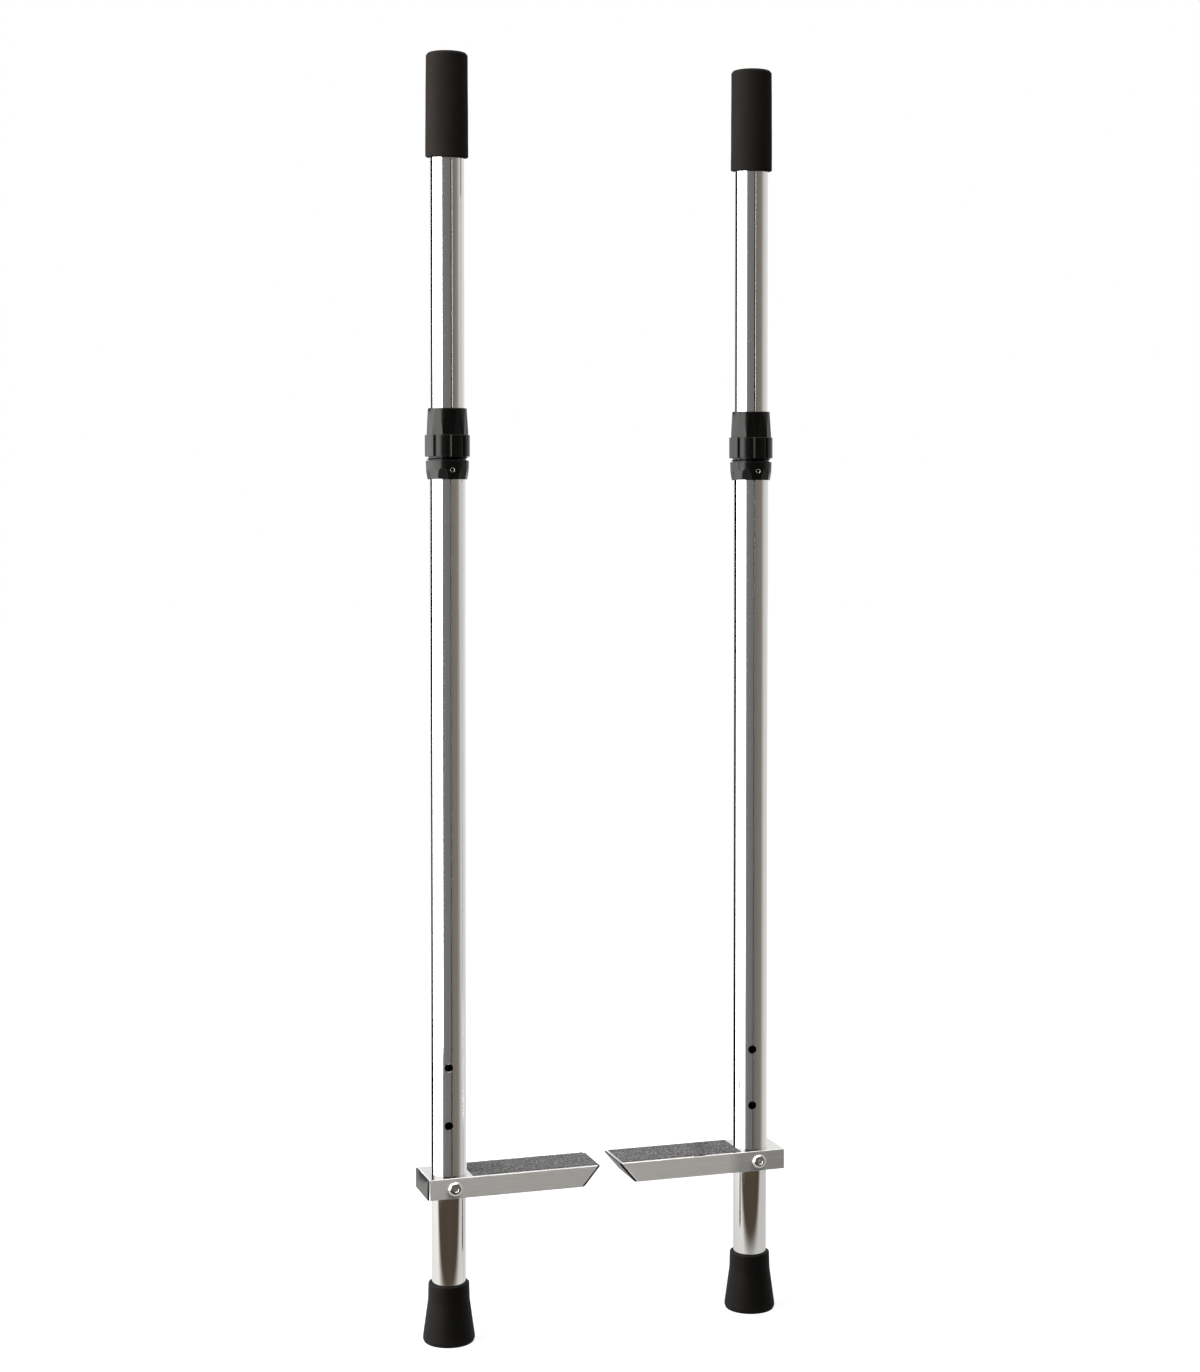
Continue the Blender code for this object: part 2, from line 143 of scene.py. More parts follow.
def build(name, verts, faces, origin=(0.0, 0.0, 0.0), sharp=40.0):
    """A mesh object from points in mm about an origin in mm, faces turned outwards, smooth but for sharp edges."""
    mesh = bpy.data.meshes.new(name)
    mesh.from_pydata([(x * MM, y * MM, z * MM) for x, y, z in verts], [], faces)
    bm = bmesh.new()
    bm.from_mesh(mesh)
    bmesh.ops.recalc_face_normals(bm, faces=bm.faces)
    bm.to_mesh(mesh)
    bm.free()
    obj = bpy.data.objects.new(name, mesh)
    bpy.context.scene.collection.objects.link(obj)
    obj.location = [c * MM for c in origin]
    shade(obj, sharp)
    return obj


def shade(obj, sharp=40.0):
    mesh = obj.data
    mesh.polygons.foreach_set("use_smooth", [True] * len(mesh.polygons))
    mesh.set_sharp_from_angle(angle=math.radians(sharp))
    mesh.update()


def ring_points(phi, r, z):
    """A loop of points at azimuths phi, measured from -Y towards +X."""
    return np.stack([r * np.sin(phi), -r * np.cos(phi), np.broadcast_to(z, phi.shape)], axis=-1)


def lathe(name, profile, segments, origin, closed=True, sharp=40.0, wobble=None):
    """Turns a profile of (r, z). Closed profiles make rings; open ones start and end on the axis."""
    phi = np.arange(segments) * TAU / segments
    if closed:
        loops = [ring_points(phi, r + (wobble(phi, z, r) if wobble else 0.0), z) for r, z in profile]
        verts, faces = loft(loops, wrap=True)
    else:
        inner = profile[1:-1]
        loops = [ring_points(phi, r + (wobble(phi, z, r) if wobble else 0.0), z) for r, z in inner]
        verts, faces = loft(loops, pole_first=(0, 0, profile[0][1]), pole_last=(0, 0, profile[-1][1]))
    return build(name, verts, faces, origin, sharp)


def bored(obj, cutters):
    """obj with the cutter objects taken out of it; the cutters are removed."""
    for tool in cutters:
        mod = obj.modifiers.new("cut", "BOOLEAN")
        mod.operation = "DIFFERENCE"
        mod.solver = "EXACT"
        mod.object = tool
    bpy.context.view_layer.update()
    made = bpy.data.meshes.new_from_object(obj.evaluated_get(bpy.context.evaluated_depsgraph_get()))
    old = obj.data
    obj.modifiers.clear()
    obj.data = made
    made.name = obj.name
    bpy.data.meshes.remove(old)
    for tool in cutters:
        data = tool.data
        bpy.data.objects.remove(tool)
        bpy.data.meshes.remove(data)
    return obj


def drill(radius, half_length, origin, az_deg, z, segments=48):
    """A cylinder whose axis is level, at an azimuth from -Y towards +X, to cut holes with."""
    phi = np.arange(segments) * TAU / segments
    loops = []
    for end in (-half_length, half_length):
        loops.append(np.stack([radius * np.cos(phi), radius * np.sin(phi), np.full(segments, end)], axis=-1))
    verts, faces = loft(loops, pole_first=(0, 0, -half_length), pole_last=(0, 0, half_length))
    obj = build("drill", verts, faces)
    obj.matrix_world = (Matrix.Translation([origin[0] * MM, origin[1] * MM, z * MM])
                        @ Matrix.Rotation(math.radians(az_deg), 4, "Z") @ Matrix.Rotation(math.pi / 2, 4, "X"))
    return obj


def set_normals(obj, rule, sharp=40.0):
    """Exact normals where rule(point, face normal) gives one, in the object's own mm; others stay as they are."""
    shade(obj, sharp)
    mesh = obj.data
    loops = np.zeros(len(mesh.loops) * 3, np.float32)
    mesh.corner_normals.foreach_get("vector", loops)
    loops = loops.reshape(-1, 3)
    for poly in mesh.polygons:
        face = poly.normal
        for li in poly.loop_indices:
            co = mesh.vertices[mesh.loops[li].vertex_index].co / MM
            normal = rule(co, face)
            if normal is not None:
                loops[li] = normal
    mesh.normals_split_custom_set([tuple(v) for v in loops])


def float_layer(obj, name, rule):
    """A number on every vertex, from rule(point in mm)."""
    mesh = obj.data
    layer = mesh.attributes.new(name, "FLOAT", "POINT")
    layer.data.foreach_set("value", np.array([rule(v.co / MM) for v in mesh.vertices], np.float32))


# ---------------------------------------------------------------- material helpers
class Finish:
    """A small builder of node materials."""

    def __init__(self, name, **constants):
        self.mat = bpy.data.materials.new(name)
        self.mat.use_nodes = True
        self.tree = self.mat.node_tree
        self.shader = self.tree.nodes["Principled BSDF"]
        for key, value in constants.items():
            socket = self.shader.inputs[key.replace("_", " ")]
            socket.default_value = (*value, 1.0) if isinstance(value, tuple) and len(value) == 3 and socket.type == "RGBA" else value
        self.coords = None

    def node(self, kind, **settings):
        n = self.tree.nodes.new(kind)
        for key, value in settings.items():
            setattr(n, key, value)
        return n

    def link(self, a, b):
        self.tree.links.new(a, b)

    def points(self, scale=(1, 1, 1), rotate=(0, 0, 0), shift=(0, 0, 0)):
        if self.coords is None:
            self.coords = self.node("ShaderNodeTexCoord")
        m = self.node("ShaderNodeMapping")
        m.inputs["Scale"].default_value = scale
        m.inputs["Rotation"].default_value = rotate
        m.inputs["Location"].default_value = shift
        self.link(self.coords.outputs["Object"], m.inputs["Vector"])
        return m.outputs["Vector"]

    def noise(self, vector, scale=1.0, detail=3.0, rough=0.55, distort=0.0):
        n = self.node("ShaderNodeTexNoise")
        n.inputs["Scale"].default_value = scale
        n.inputs["Detail"].default_value = detail
        n.inputs["Roughness"].default_value = rough
        n.inputs["Distortion"].default_value = distort
        self.link(vector, n.inputs["Vector"])
        return n.outputs["Fac"]

    def cells(self, vector, scale=1.0, feature="F1", out="Distance", smooth=None):
        n = self.node("ShaderNodeTexVoronoi")
        n.feature = feature
        n.inputs["Scale"].default_value = scale
        self.link(vector, n.inputs["Vector"])
        return n.outputs[out]

    def span(self, value, low, high, to_low, to_high):
        n = self.node("ShaderNodeMapRange")
        for key, v in (("From Min", low), ("From Max", high), ("To Min", to_low), ("To Max", to_high)):
            n.inputs[key].default_value = v
        self.link(value, n.inputs["Value"])
        return n.outputs["Result"]

    def math(self, op, a, b):
        n = self.node("ShaderNodeMath", operation=op)
        for socket, v in zip(n.inputs, (a, b)):
            if isinstance(v, (int, float)):
                socket.default_value = v
            else:
                self.link(v, socket)
        return n.outputs["Value"]

    def ramp(self, value, stops):
        n = self.node("ShaderNodeValToRGB")
        e = n.color_ramp.elements
        while len(e) < len(stops):
            e.new(0.5)
        for item, (pos, colour) in zip(e, stops):
            item.position = pos
            item.color = (*colour, 1.0)
        self.link(value, n.inputs["Fac"])
        return n.outputs["Color"]

    def blend(self, fac, a, b, mode="MIX"):
        n = self.node("ShaderNodeMix", data_type="RGBA", blend_type=mode)
        if isinstance(fac, (int, float)):
            n.inputs["Factor"].default_value = fac
        else:
            self.link(fac, n.inputs["Factor"])
        colour_sockets = [s for s in n.inputs if s.type == "RGBA"]
        for socket, v in zip(colour_sockets, (a, b)):
            if isinstance(v, tuple):
                socket.default_value = (*v, 1.0)
            else:
                self.link(v, socket)
        return [s for s in n.outputs if s.type == "RGBA"][0]

    def attribute(self, name):
        return self.node("ShaderNodeAttribute", attribute_name=name).outputs["Fac"]

    def bump(self, height, strength, distance, normal=None):
        n = self.node("ShaderNodeBump")
        n.inputs["Strength"].default_value = strength
        n.inputs["Distance"].default_value = distance
        self.link(height, n.inputs["Height"])
        if normal is not None:
            self.link(normal, n.inputs["Normal"])
        return n.outputs["Normal"]

    def set(self, name, value):
        self.link(value, self.shader.inputs[name])


def polished_aluminium(name, streak=1.0, groove_shade_and_dull=True):
    """Drawn and polished pole: fine lengthwise lines, faint handling marks, a rougher groove bottom with painted shade
    in it (coloured near black).
    """
    f = Finish(name, Metallic=1.0)
    fine = f.noise(f.points((1500, 1500, 0.25)), detail=2, rough=0.5)
    broad = f.noise(f.points((240, 240, 0.12), shift=(3.1, 1.7, 0.4)), detail=2, rough=0.5)
    marks = f.noise(f.points((38, 38, 24), shift=(7.0, 2.0, 5.0)), detail=5, rough=0.62, distort=0.4)
    tone = f.math("ADD", f.math("MULTIPLY", fine, 0.5), f.math("MULTIPLY", broad, 0.5))
    colour = f.ramp(tone, [(0.30, (0.80, 0.798, 0.79)), (0.52, (0.885, 0.885, 0.88)), (0.72, (0.93, 0.932, 0.935))])
    if groove_shade_and_dull:
        # painted shade: the groove's bottom is coloured near black, standing in for the shade inside the groove
        colour = f.blend(f.attribute("groove"), colour, (0.036, 0.035, 0.034))
    f.set("Base Color", colour)
    gloss = f.span(fine, 0.3, 0.7, 0.045, 0.085)
    smear = f.span(marks, 0.55, 0.78, 0.0, 0.05)
    rough = f.math("ADD", gloss, smear)
    if groove_shade_and_dull:
        rough = f.math("ADD", rough, f.math("MULTIPLY", f.attribute("groove"), 0.45))
    f.set("Roughness", rough)
    normal = f.bump(fine, 0.007 * streak, 0.0003)
    normal = f.bump(broad, 0.007 * streak, 0.0010, normal)
    f.set("Normal", normal)
    return f.mat


def dull_aluminium(name):
    """The unpolished inside of a tube, with drawing lines and grey oxide."""
    f = Finish(name, Metallic=1.0)
    lines = f.noise(f.points((900, 900, 8)), detail=4, rough=0.65)
    cloud = f.noise(f.points((60, 60, 60)), detail=4)
    f.set("Base Color", f.ramp(f.math("ADD", f.math("MULTIPLY", lines, 0.5), f.math("MULTIPLY", cloud, 0.5)),
                               [(0.3, (0.16, 0.16, 0.16)), (0.7, (0.30, 0.30, 0.295))]))
    f.set("Roughness", f.span(cloud, 0.3, 0.7, 0.5, 0.7))
    f.set("Normal", f.bump(lines, 0.2, 0.0004))
    return f.mat


def satin_aluminium(name, painted_light_span=None):
    """Extruded rectangular tube, brushed lengthwise. Given a span along X in mm, this copy is painted lighter all over,
    and that stretch of its front gets a painted bluish grey reflection.
    """
    f = Finish(name, Metallic=1.0, Anisotropic=0.93)
    tangent = f.node("ShaderNodeTangent", direction_type="RADIAL", axis="X")
    f.set("Tangent", tangent.outputs["Tangent"])
    fine = f.noise(f.points((9, 2600, 2600)), detail=4, rough=0.65)
    broad = f.noise(f.points((3.5, 420, 420), shift=(2.0, 4.0, 1.0)), detail=3, rough=0.55)
    cloud = f.noise(f.points((26, 60, 60), shift=(5.0, 1.0, 3.0)), detail=4)
    tone = f.math("ADD", f.math("MULTIPLY", fine, 0.55), f.math("MULTIPLY", broad, 0.45))
    # with a span, the base colour is a painted lighter copy of the same metal
    colour = f.ramp(tone, [(0.34, (0.735, 0.73, 0.72)), (0.50, (0.80, 0.797, 0.79)), (0.66, (0.86, 0.86, 0.856))] if not painted_light_span else
                    [(0.34, (0.783, 0.777, 0.766)), (0.50, (0.852, 0.848, 0.840)), (0.66, (0.916, 0.916, 0.911))])
    facing = f.node("ShaderNodeSeparateXYZ")
    f.link(f.node("ShaderNodeNewGeometry").outputs["True Normal"], facing.inputs["Vector"])
    top = f.span(facing.outputs["Z"], 0.75, 0.95, 0.0, -0.40)
    if painted_light_span:
        where = f.node("ShaderNodeSeparateXYZ")
        f.link(f.points(), where.inputs["Vector"])
        wander = f.math("ADD", where.outputs["X"], f.math("MULTIPLY", broad, 0.006))
        reflection_patch = f.math("MULTIPLY", f.span(wander, painted_light_span[0] * MM, painted_light_span[1] * MM, 0.0, 1.0), f.span(facing.outputs["Y"], -0.75, -0.95, 0.0, 1.0))
        # painted reflection: a bluish grey painted onto that stretch of the front face
        grey = f.ramp(tone, [(0.34, (0.450, 0.456, 0.473)), (0.50, (0.565, 0.570, 0.587)), (0.66, (0.70, 0.706, 0.723))])
        colour = f.blend(reflection_patch, colour, grey)
    f.set("Base Color", colour)
    f.set("Roughness", f.math("ADD", f.math("ADD", f.span(fine, 0.3, 0.7, 0.44, 0.52), f.span(cloud, 0.4, 0.7, 0.0, 0.05)), top))
    f.set("Normal", f.bump(broad, 0.08, 0.0008, f.bump(fine, 0.10, 0.0003)))
    return f.mat


def moulded_plastic(name, base=(0.0007, 0.0006, 0.0005), high=(0.0016, 0.0014, 0.0012), rough=(0.20, 0.26), grain=0.04, shine=0.25):
    """Injection-moulded plastic with a fine spark texture and faint flow variation."""
    f = Finish(name)
    f.shader.inputs["Specular IOR Level"].default_value = shine
    spark = f.noise(f.points((3200, 3200, 3200)), detail=2, rough=0.7)
    flow = f.noise(f.points((60, 60, 35), shift=(1.0, 8.0, 2.0)), detail=4, distort=0.6)
    f.set("Base Color", f.ramp(flow, [(0.32, base), (0.70, high)]))
    f.set("Roughness", f.math("ADD", f.span(flow, 0.3, 0.7, rough[0], rough[1]), f.span(spark, 0.35, 0.65, -0.025, 0.025)))
    f.set("Normal", f.bump(spark, grain, 0.00025))
    return f.mat


def foam(name):
    """Closed-cell foam: soft skin with small open pores and slow tone changes."""
    f = Finish(name)
    f.shader.inputs["Specular IOR Level"].default_value = 0.05
    pores = f.cells(f.points((1500, 1500, 1500)))
    fuzz = f.noise(f.points((2600, 2600, 2600)), detail=3, rough=0.7)
    slow = f.noise(f.points((70, 70, 45), shift=(4.0, 3.0, 1.0)), detail=4)
    pit = f.span(pores, 0.10, 0.45, 0.0, 1.0)
    tone = f.math("ADD", f.math("MULTIPLY", pit, 0.4), f.math("MULTIPLY", slow, 0.6))
    f.set("Base Color", f.ramp(tone, [(0.2, (0.0050, 0.0042, 0.0037)), (0.75, (0.0119, 0.0100, 0.0088))]))
    f.set("Roughness", f.span(fuzz, 0.3, 0.7, 0.68, 0.85))
    f.set("Normal", f.bump(fuzz, 0.35, 0.0003, f.bump(pit, 0.30, 0.0003)))
    return f.mat


def rubber(name):
    """Moulded rubber: matt, a little dusty towards the floor."""
    f = Finish(name)
    f.shader.inputs["Specular IOR Level"].default_value = 0.10
    skin = f.noise(f.points((1900, 1900, 1900)), detail=3, rough=0.65)
    slow = f.noise(f.points((55, 55, 40), shift=(2.0, 6.0, 1.0)), detail=4)
    height = f.node("ShaderNodeSeparateXYZ")
    f.link(f.points(), height.inputs["Vector"])
    dust = f.math("MULTIPLY", f.span(height.outputs["Z"], 0.010, 0.0, 0.0, 1.0), f.span(slow, 0.35, 0.65, 0.15, 0.6))
    colour = f.ramp(slow, [(0.3, (0.0016, 0.0013, 0.0011)), (0.7, (0.0027, 0.0023, 0.0019))])
    f.set("Base Color", f.blend(dust, colour, (0.012, 0.011, 0.010)))
    f.set("Roughness", f.math("ADD", f.span(skin, 0.3, 0.7, 0.50, 0.62), f.math("MULTIPLY", dust, 0.2)))
    f.set("Normal", f.bump(skin, 0.16, 0.0003))
    return f.mat


def grit(name):
    """Mineral grains in a dark binder."""
    f = Finish(name)
    f.shader.inputs["Specular IOR Level"].default_value = 0.35
    grains = f.cells(f.points((1050, 1050, 1050)), out="Color")
    split = f.node("ShaderNodeSeparateColor")
    f.link(grains, split.inputs["Color"])
    fine = f.noise(f.points((780, 780, 780)), detail=4, rough=0.75)
    slow = f.noise(f.points((90, 90, 90)), detail=4)
    tone = f.math("ADD", f.math("ADD", f.math("MULTIPLY", split.outputs["Red"], 0.50), f.math("MULTIPLY", fine, 0.42)), f.math("MULTIPLY", slow, 0.08))
    f.set("Base Color", f.ramp(tone, [(0.29, (0.004, 0.004, 0.0042)), (0.47, (0.028, 0.027, 0.028)), (0.66, (0.205, 0.200, 0.2035))]))
    f.set("Roughness", f.span(split.outputs["Green"], 0.0, 1.0, 0.38, 0.75))
    f.set("Normal", f.bump(f.cells(f.points((1050, 1050, 1050))), 0.5, 0.0003))
    return f.mat


def plated_steel(name, base=(0.78, 0.775, 0.755), rough=(0.12, 0.22)):
    """Bright plated steel with small scratches and a faint warm bloom."""
    f = Finish(name, Metallic=1.0)
    scuff = f.noise(f.points((700, 2200, 900)), detail=4, rough=0.7, distort=0.3)
    bloom = f.noise(f.points((160, 160, 160)), detail=3)
    dark = tuple(c * 0.86 for c in base)
    f.set("Base Color", f.ramp(bloom, [(0.3, dark), (0.65, base)]))
    f.set("Roughness", f.span(scuff, 0.3, 0.7, *rough))
    f.set("Normal", f.bump(scuff, 0.05, 0.0002))
    return f.mat


mats = {
    "tube": polished_aluminium("pole_polished"),
    "foot": polished_aluminium("foot_polished", streak=0.7, groove_shade_and_dull=False),
    "inside": dull_aluminium("tube_inside"),
    "beam": satin_aluminium("beam_brushed"),
    # the right beam: a painted lighter copy, with a painted reflection on the outer stretch of its front
    "beam_right": satin_aluminium("beam_brushed_right", painted_light_span=(-30.0, -16.0)),
    "clamp": moulded_plastic("clamp_plastic"),
    "plug": moulded_plastic("plug_plastic", rough=(0.26, 0.33), grain=0.05, shine=0.46),
    "inner": moulded_plastic("inner_plastic", base=(0.035, 0.035, 0.036), high=(0.055, 0.055, 0.056)),
    "slip": moulded_plastic("slip_plastic", base=(0.62, 0.62, 0.60), high=(0.74, 0.74, 0.71), rough=(0.30, 0.42), shine=0.5),
    "steel": plated_steel("plated_steel"),
    "dull": plated_steel("dull_steel", base=(0.30, 0.295, 0.285), rough=(0.16, 0.26)),
    # painted shade: the set screw's hex socket is coloured near black, standing in for the shade inside it
    "socket": plated_steel("socket_painted_shade", base=(0.030, 0.029, 0.028), rough=(0.35, 0.5)),
    "recess": plated_steel("recess_steel", base=(0.80, 0.79, 0.77), rough=(0.30, 0.42)),
    "disc": plated_steel("disc_steel", base=(0.58, 0.58, 0.57), rough=(0.30, 0.45)),
    "rubber": rubber("ferrule_rubber"),
    "foam": foam("grip_foam"),
    "grit": grit("tread_grit"),
}


def dress(obj, *keys):
    obj.data.materials.clear()
    for key in keys:
        obj.data.materials.append(mats[key])
    return obj


def place(obj, side, body, slot, *nodes):
    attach(obj, side + "_" + body)
    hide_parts(*[side + "_" + n for n in nodes])
    return obj


# ---------------------------------------------------------------- poles
def grooved_section(radius, groove_az, lip, segments=176):
    """Azimuths and radii of a round section with one narrow lengthwise groove: a steep side, a floor and a sloping side."""
    g = math.radians(groove_az)
    across = np.array([-1.6, -1.2, -0.9, -0.74, -0.68, -0.64, -0.60, -0.54, -0.40, -0.20, 0.0, 0.14, 0.22, 0.30, 0.42, 0.54, 0.66, 0.72, 0.78, 0.9, 1.2, 1.6])
    depth = np.array([0, 0, 0, 0, 0.05, 0.20, 0.42, 0.52, 0.55, 0.55, 0.55, 0.55, 0.55, 0.55, 0.52, lip, 0.07, 0.02, 0.0, 0, 0, 0])
    outside = np.linspace(1.6 / radius, TAU - 1.6 / radius, segments)[1:-1]
    rel = np.concatenate([across / radius, outside])
    dip = np.concatenate([depth, np.zeros(len(outside))])
    return rel + g, radius - dip, dip


def tube(name, origin, outer, bore, z_low, z_high, holes=(), groove_az=None, lip=0.3, dull=0.02, outer_key="tube", edge=0.35):
    if groove_az is None:
        phi = np.arange(192) * TAU / 192
        shape = np.full(192, outer)
    else:
        phi, shape, _ = grooved_section(outer, groove_az, lip)
    mids = list(np.linspace(z_low + edge, z_high - edge, 9))
    loops = [ring_points(phi, shape - edge, z_low)]
    loops += [ring_points(phi, shape, z) for z in mids]
    loops += [ring_points(phi, shape - edge, z_high)]
    loops += [ring_points(phi, np.full(len(phi), bore), z) for z in [z_high] + mids[::-1] + [z_low]]
    verts, faces = loft(loops, wrap=True)
    obj = build(name, verts, faces, origin)
    if holes:
        bored(obj, [drill(HOLE_R, 60.0, origin, az, z) for az, z in holes])

    def rule(co, face):
        r = math.hypot(co.x, co.y)
        if abs(face.z) > 0.3:
            return None
        out = (co.x / r, co.y / r, 0.0)
        facing = face.x * out[0] + face.y * out[1]
        if r > outer - 0.02 and facing > 0.97:
            return out
        if r < bore + 0.05 and facing < -0.97:
            return (-out[0], -out[1], 0.0)
        return None

    if groove_az is None or holes:
        set_normals(obj, rule, sharp=35.0)
    dress(obj, outer_key, "inside")
    inner = []
    for poly in obj.data.polygons:
        c = poly.center / MM
        inner.append(1 if math.hypot(c.x, c.y) < bore + 0.35 else 0)
    obj.data.polygons.foreach_set("material_index", inner)
    # the groove mask comes in over the depth dull; it paints shade (near-black colour) into the groove bottom and makes
    # it rougher
    if groove_az is not None:
        def deep(co):
            r = math.hypot(co.x, co.y)
            return min(1.0, max(0.0, (outer - r) / dull)) if r > bore + 0.1 else 0.0
        float_layer(obj, "groove", deep)
    return obj


def poles(side):
    x, _ = SIDES[side]
    origin = (x, AXIS_Y, 0.0)
    groove = {"left": (0.5, -3.6), "right": (-8.2, -10.0)}[side]
    drilled = [(0.0, BEAM_MID)] + [(SPARE_TURN, BEAM_MID + k * HOLE_PITCH + SPARE_RISE[side]) for k in (1, 2)]
    main = tube(side + "_main_pole", origin, MAIN_R, MAIN_BORE, *MAIN_Z, holes=drilled, groove_az=groove[1], lip=0.42, dull=0.02)
    foot = tube(side + "_foot_pole", origin, FOOT_R, FOOT_BORE, *FOOT_Z, holes=drilled, outer_key="foot")
    place(main, side, "lower", "polished_aluminium", "main_tube")
    place(foot, side, "lower", "polished_aluminium", "foot_tube")
    place(tube(side + "_upper_pole", origin, UPPER_R, UPPER_BORE, *UPPER_Z, groove_az=groove[0], lip=0.26, dull=0.23),
          side, "upper", "polished_aluminium", "upper_tube")


# ---------------------------------------------------------------- rubber feet and foam grips
def ferrule(side):
    x, _ = SIDES[side]
    outline = [(0.0, 6.0, 0), (16.9, 6.0, 0.8), (16.9, 58.0, 0.6), (20.05, 58.0, 1.3), (20.55, 41.0, 16.0), (25.45, 5.4, 5.0),
               (25.55, 3.0, 2.0), (24.4, 0.0, 1.2), (20.5, 0.0, 0.5), (20.0, 1.0, 0.5), (17.6, 1.0, 0.5), (17.1, 0.0, 0.5),
               (13.4, 0.0, 0.5), (12.9, 1.0, 0.5), (10.5, 1.0, 0.5), (10.0, 0.0, 0.5), (0.0, 0.0, 0)]
    profile = refined(rounded(outline, closed=False, step=6.0), 2.5, closed=False)
    obj = lathe(side + "_rubber_foot", profile, 128, (x, AXIS_Y, 0.0), closed=False, sharp=50.0)
    dress(obj, "rubber")
    place(obj, side, "lower", "rubber", "ferrule")


def grip(side):
    x, _ = SIDES[side]
    top = UPPER_Z[1]
    outline = [(0.0, 1258.0, 0), (11.0, 1257.8, 8.0), (18.6, 1256.9, 2.0), (20.35, 1254.6, 1.8), (20.7, 1200.0, 60.0), (20.85, 1154.6, 2.2),
               (16.95, 1155.4, 0.8), (16.95, top + 2.6, 0.5), (0.0, top + 2.6, 0)]
    profile = refined(rounded(outline, closed=False, step=8.0), 3.0, closed=False)
    seed = 0.7 if side == "left" else 2.9

    def wobble(phi, z, r):
        if r < 17.5:
            return 0.0
        return 0.07 * np.sin(2 * phi + z * 0.021 + seed) + 0.05 * np.sin(3 * phi - z * 0.043 + 2 * seed) + 0.04 * np.sin(z * 0.11 + seed + phi)

    obj = lathe(side + "_foam_handle", profile, 128, (x, AXIS_Y, 0.0), closed=False, sharp=60.0, wobble=wobble)
    lean = math.radians(VIEW_AZ[side] + 14.0)
    for v in obj.data.vertices:
        if v.co.z < 1.180:
            share = min(1.0, (1.180 - v.co.z) / 0.020)
            around = math.atan2(v.co.x, -v.co.y)
            v.co.z += 1.4 * MM * share * (1.0 - math.cos(around - lean))
    dress(obj, "foam")
    place(obj, side, "upper", "foam", "foam_grip")


# ---------------------------------------------------------------- twist clamp
def flats(phi, count, corner_az):
    """1 over the cosine to the nearest flat's middle, for a prism with the given number of flats."""
    pitch = TAU / count
    off = (phi - math.radians(corner_az)) % pitch - pitch / 2
    return 1.0 / np.cos(off)


def flat_normal(phi, count, corner_az, rise):
    """The outward normal of the flat that covers an azimuth; rise is its slope up or down."""
    pitch = TAU / count
    start = math.radians(corner_az)
    mid = start + (math.floor((phi - start) / pitch) + 0.5) * pitch
    return Vector((math.sin(mid), -math.cos(mid), rise)).normalized()


def clamp_nut(side):
    x, _ = SIDES[side]
    view = VIEW_AZ[side]
    n = 704
    phi = np.arange(n) * TAU / n
    corner = view - 45.8
    facet = flats(phi, 11, corner)
    # ring: nine broad lobes between valleys with one long and one steep side
    pitch = TAU / 9
    off = np.degrees((phi - math.radians(view - 32.2) + pitch / 2) % pitch - pitch / 2)
    valley = sum(1.30 / 3 * np.clip(np.minimum(1 + (off + soft) / 6.6, 1 - (off + soft) / 3.1), 0, 1) for soft in (-0.55, 0.0, 0.55))
    pillow = 0.10 * (1 - np.abs(off) / 20.0) ** 3
    outline = [(21.95, 867.0, 0.9), (21.95, 888.0, 0.4), (20.55, 888.0, 0.25), (18.95, 914.0, 0.7), (17.15, 914.0, 0.4), (17.15, 908.0, 0.3),
               (17.9, 908.0, 0.3), (17.9, 905.0, 0.3), (18.65, 886.5, 0.3), (20.45, 885.0, 0.3), (20.45, 867.0, 0.4)]
    rough = refined(rounded(outline, step=18.0), 3.2)
    profile = []
    for p, q in zip(rough, rough[1:] + rough[:1]):                                            # the flats need close rings on the cone only
        cone = min(p[1], q[1]) > 887.5 and min(p[0], q[0]) > 18.2
        profile += refined([p, q], 0.6 if cone else 3.2, closed=False)[:-1]
    loops = []
    for r, z in profile:
        radius = np.full(n, float(r))
        if r > 20.6 and z < 888.6:
            share = min(1.0, max(0.0, (r - 20.5) / 1.2))
            radius = radius - share * (valley + pillow)
        elif z > 887.5 and r > 18.2:
            radius = np.minimum(radius, nut_flat(z) * facet)
        loops.append(ring_points(phi, radius, z))
    verts, faces = loft(loops, wrap=True)
    obj = build(side + "_twist_nut", verts, faces, (x, AXIS_Y, 0.0), sharp=30.0)

    lean = 1.6 / 26.0

    def rule(co, face, mid):
        r = math.hypot(mid.x, mid.y)
        if not (888.5 < mid.z < 913.2 and r > 18.2):
            return None
        around = math.atan2(mid.x, -mid.y)
        step = TAU / 11
        across = (around - math.radians(corner)) % step - step / 2
        if nut_flat(mid.z) / math.cos(across) < 20.55 - lean * (mid.z - 888.0) - 0.004:
            return flat_normal(around, 11, corner, 0.0263)
        return Vector((co.x, co.y, lean * math.hypot(co.x, co.y))).normalized()

    crisp(obj, rule, 30.0)
    dress(obj, "clamp")
    place(obj, side, "nut", "black_plastic", "clamp_nut")


def nut_flat(z):
    return 19.72 + (18.93 - 19.72) * (z - 886.0) / 30.0


def collar_flat(z):
    return 20.95 - 0.20 * (856.6 - z)


def crisp(obj, rule, sharp):
    """Normals per face corner from rule(point, face normal, face middle), so that faint edges stay crisp."""
    shade(obj, sharp)
    mesh = obj.data
    loops = np.zeros(len(mesh.loops) * 3, np.float32)
    mesh.corner_normals.foreach_get("vector", loops)
    loops = loops.reshape(-1, 3)
    for poly in mesh.polygons:
        mid = poly.center / MM
        for li in poly.loop_indices:
            normal = rule(mesh.vertices[mesh.loops[li].vertex_index].co / MM, poly.normal, mid)
            if normal is not None:
                loops[li] = normal
    mesh.normals_split_custom_set([tuple(v) for v in loops])


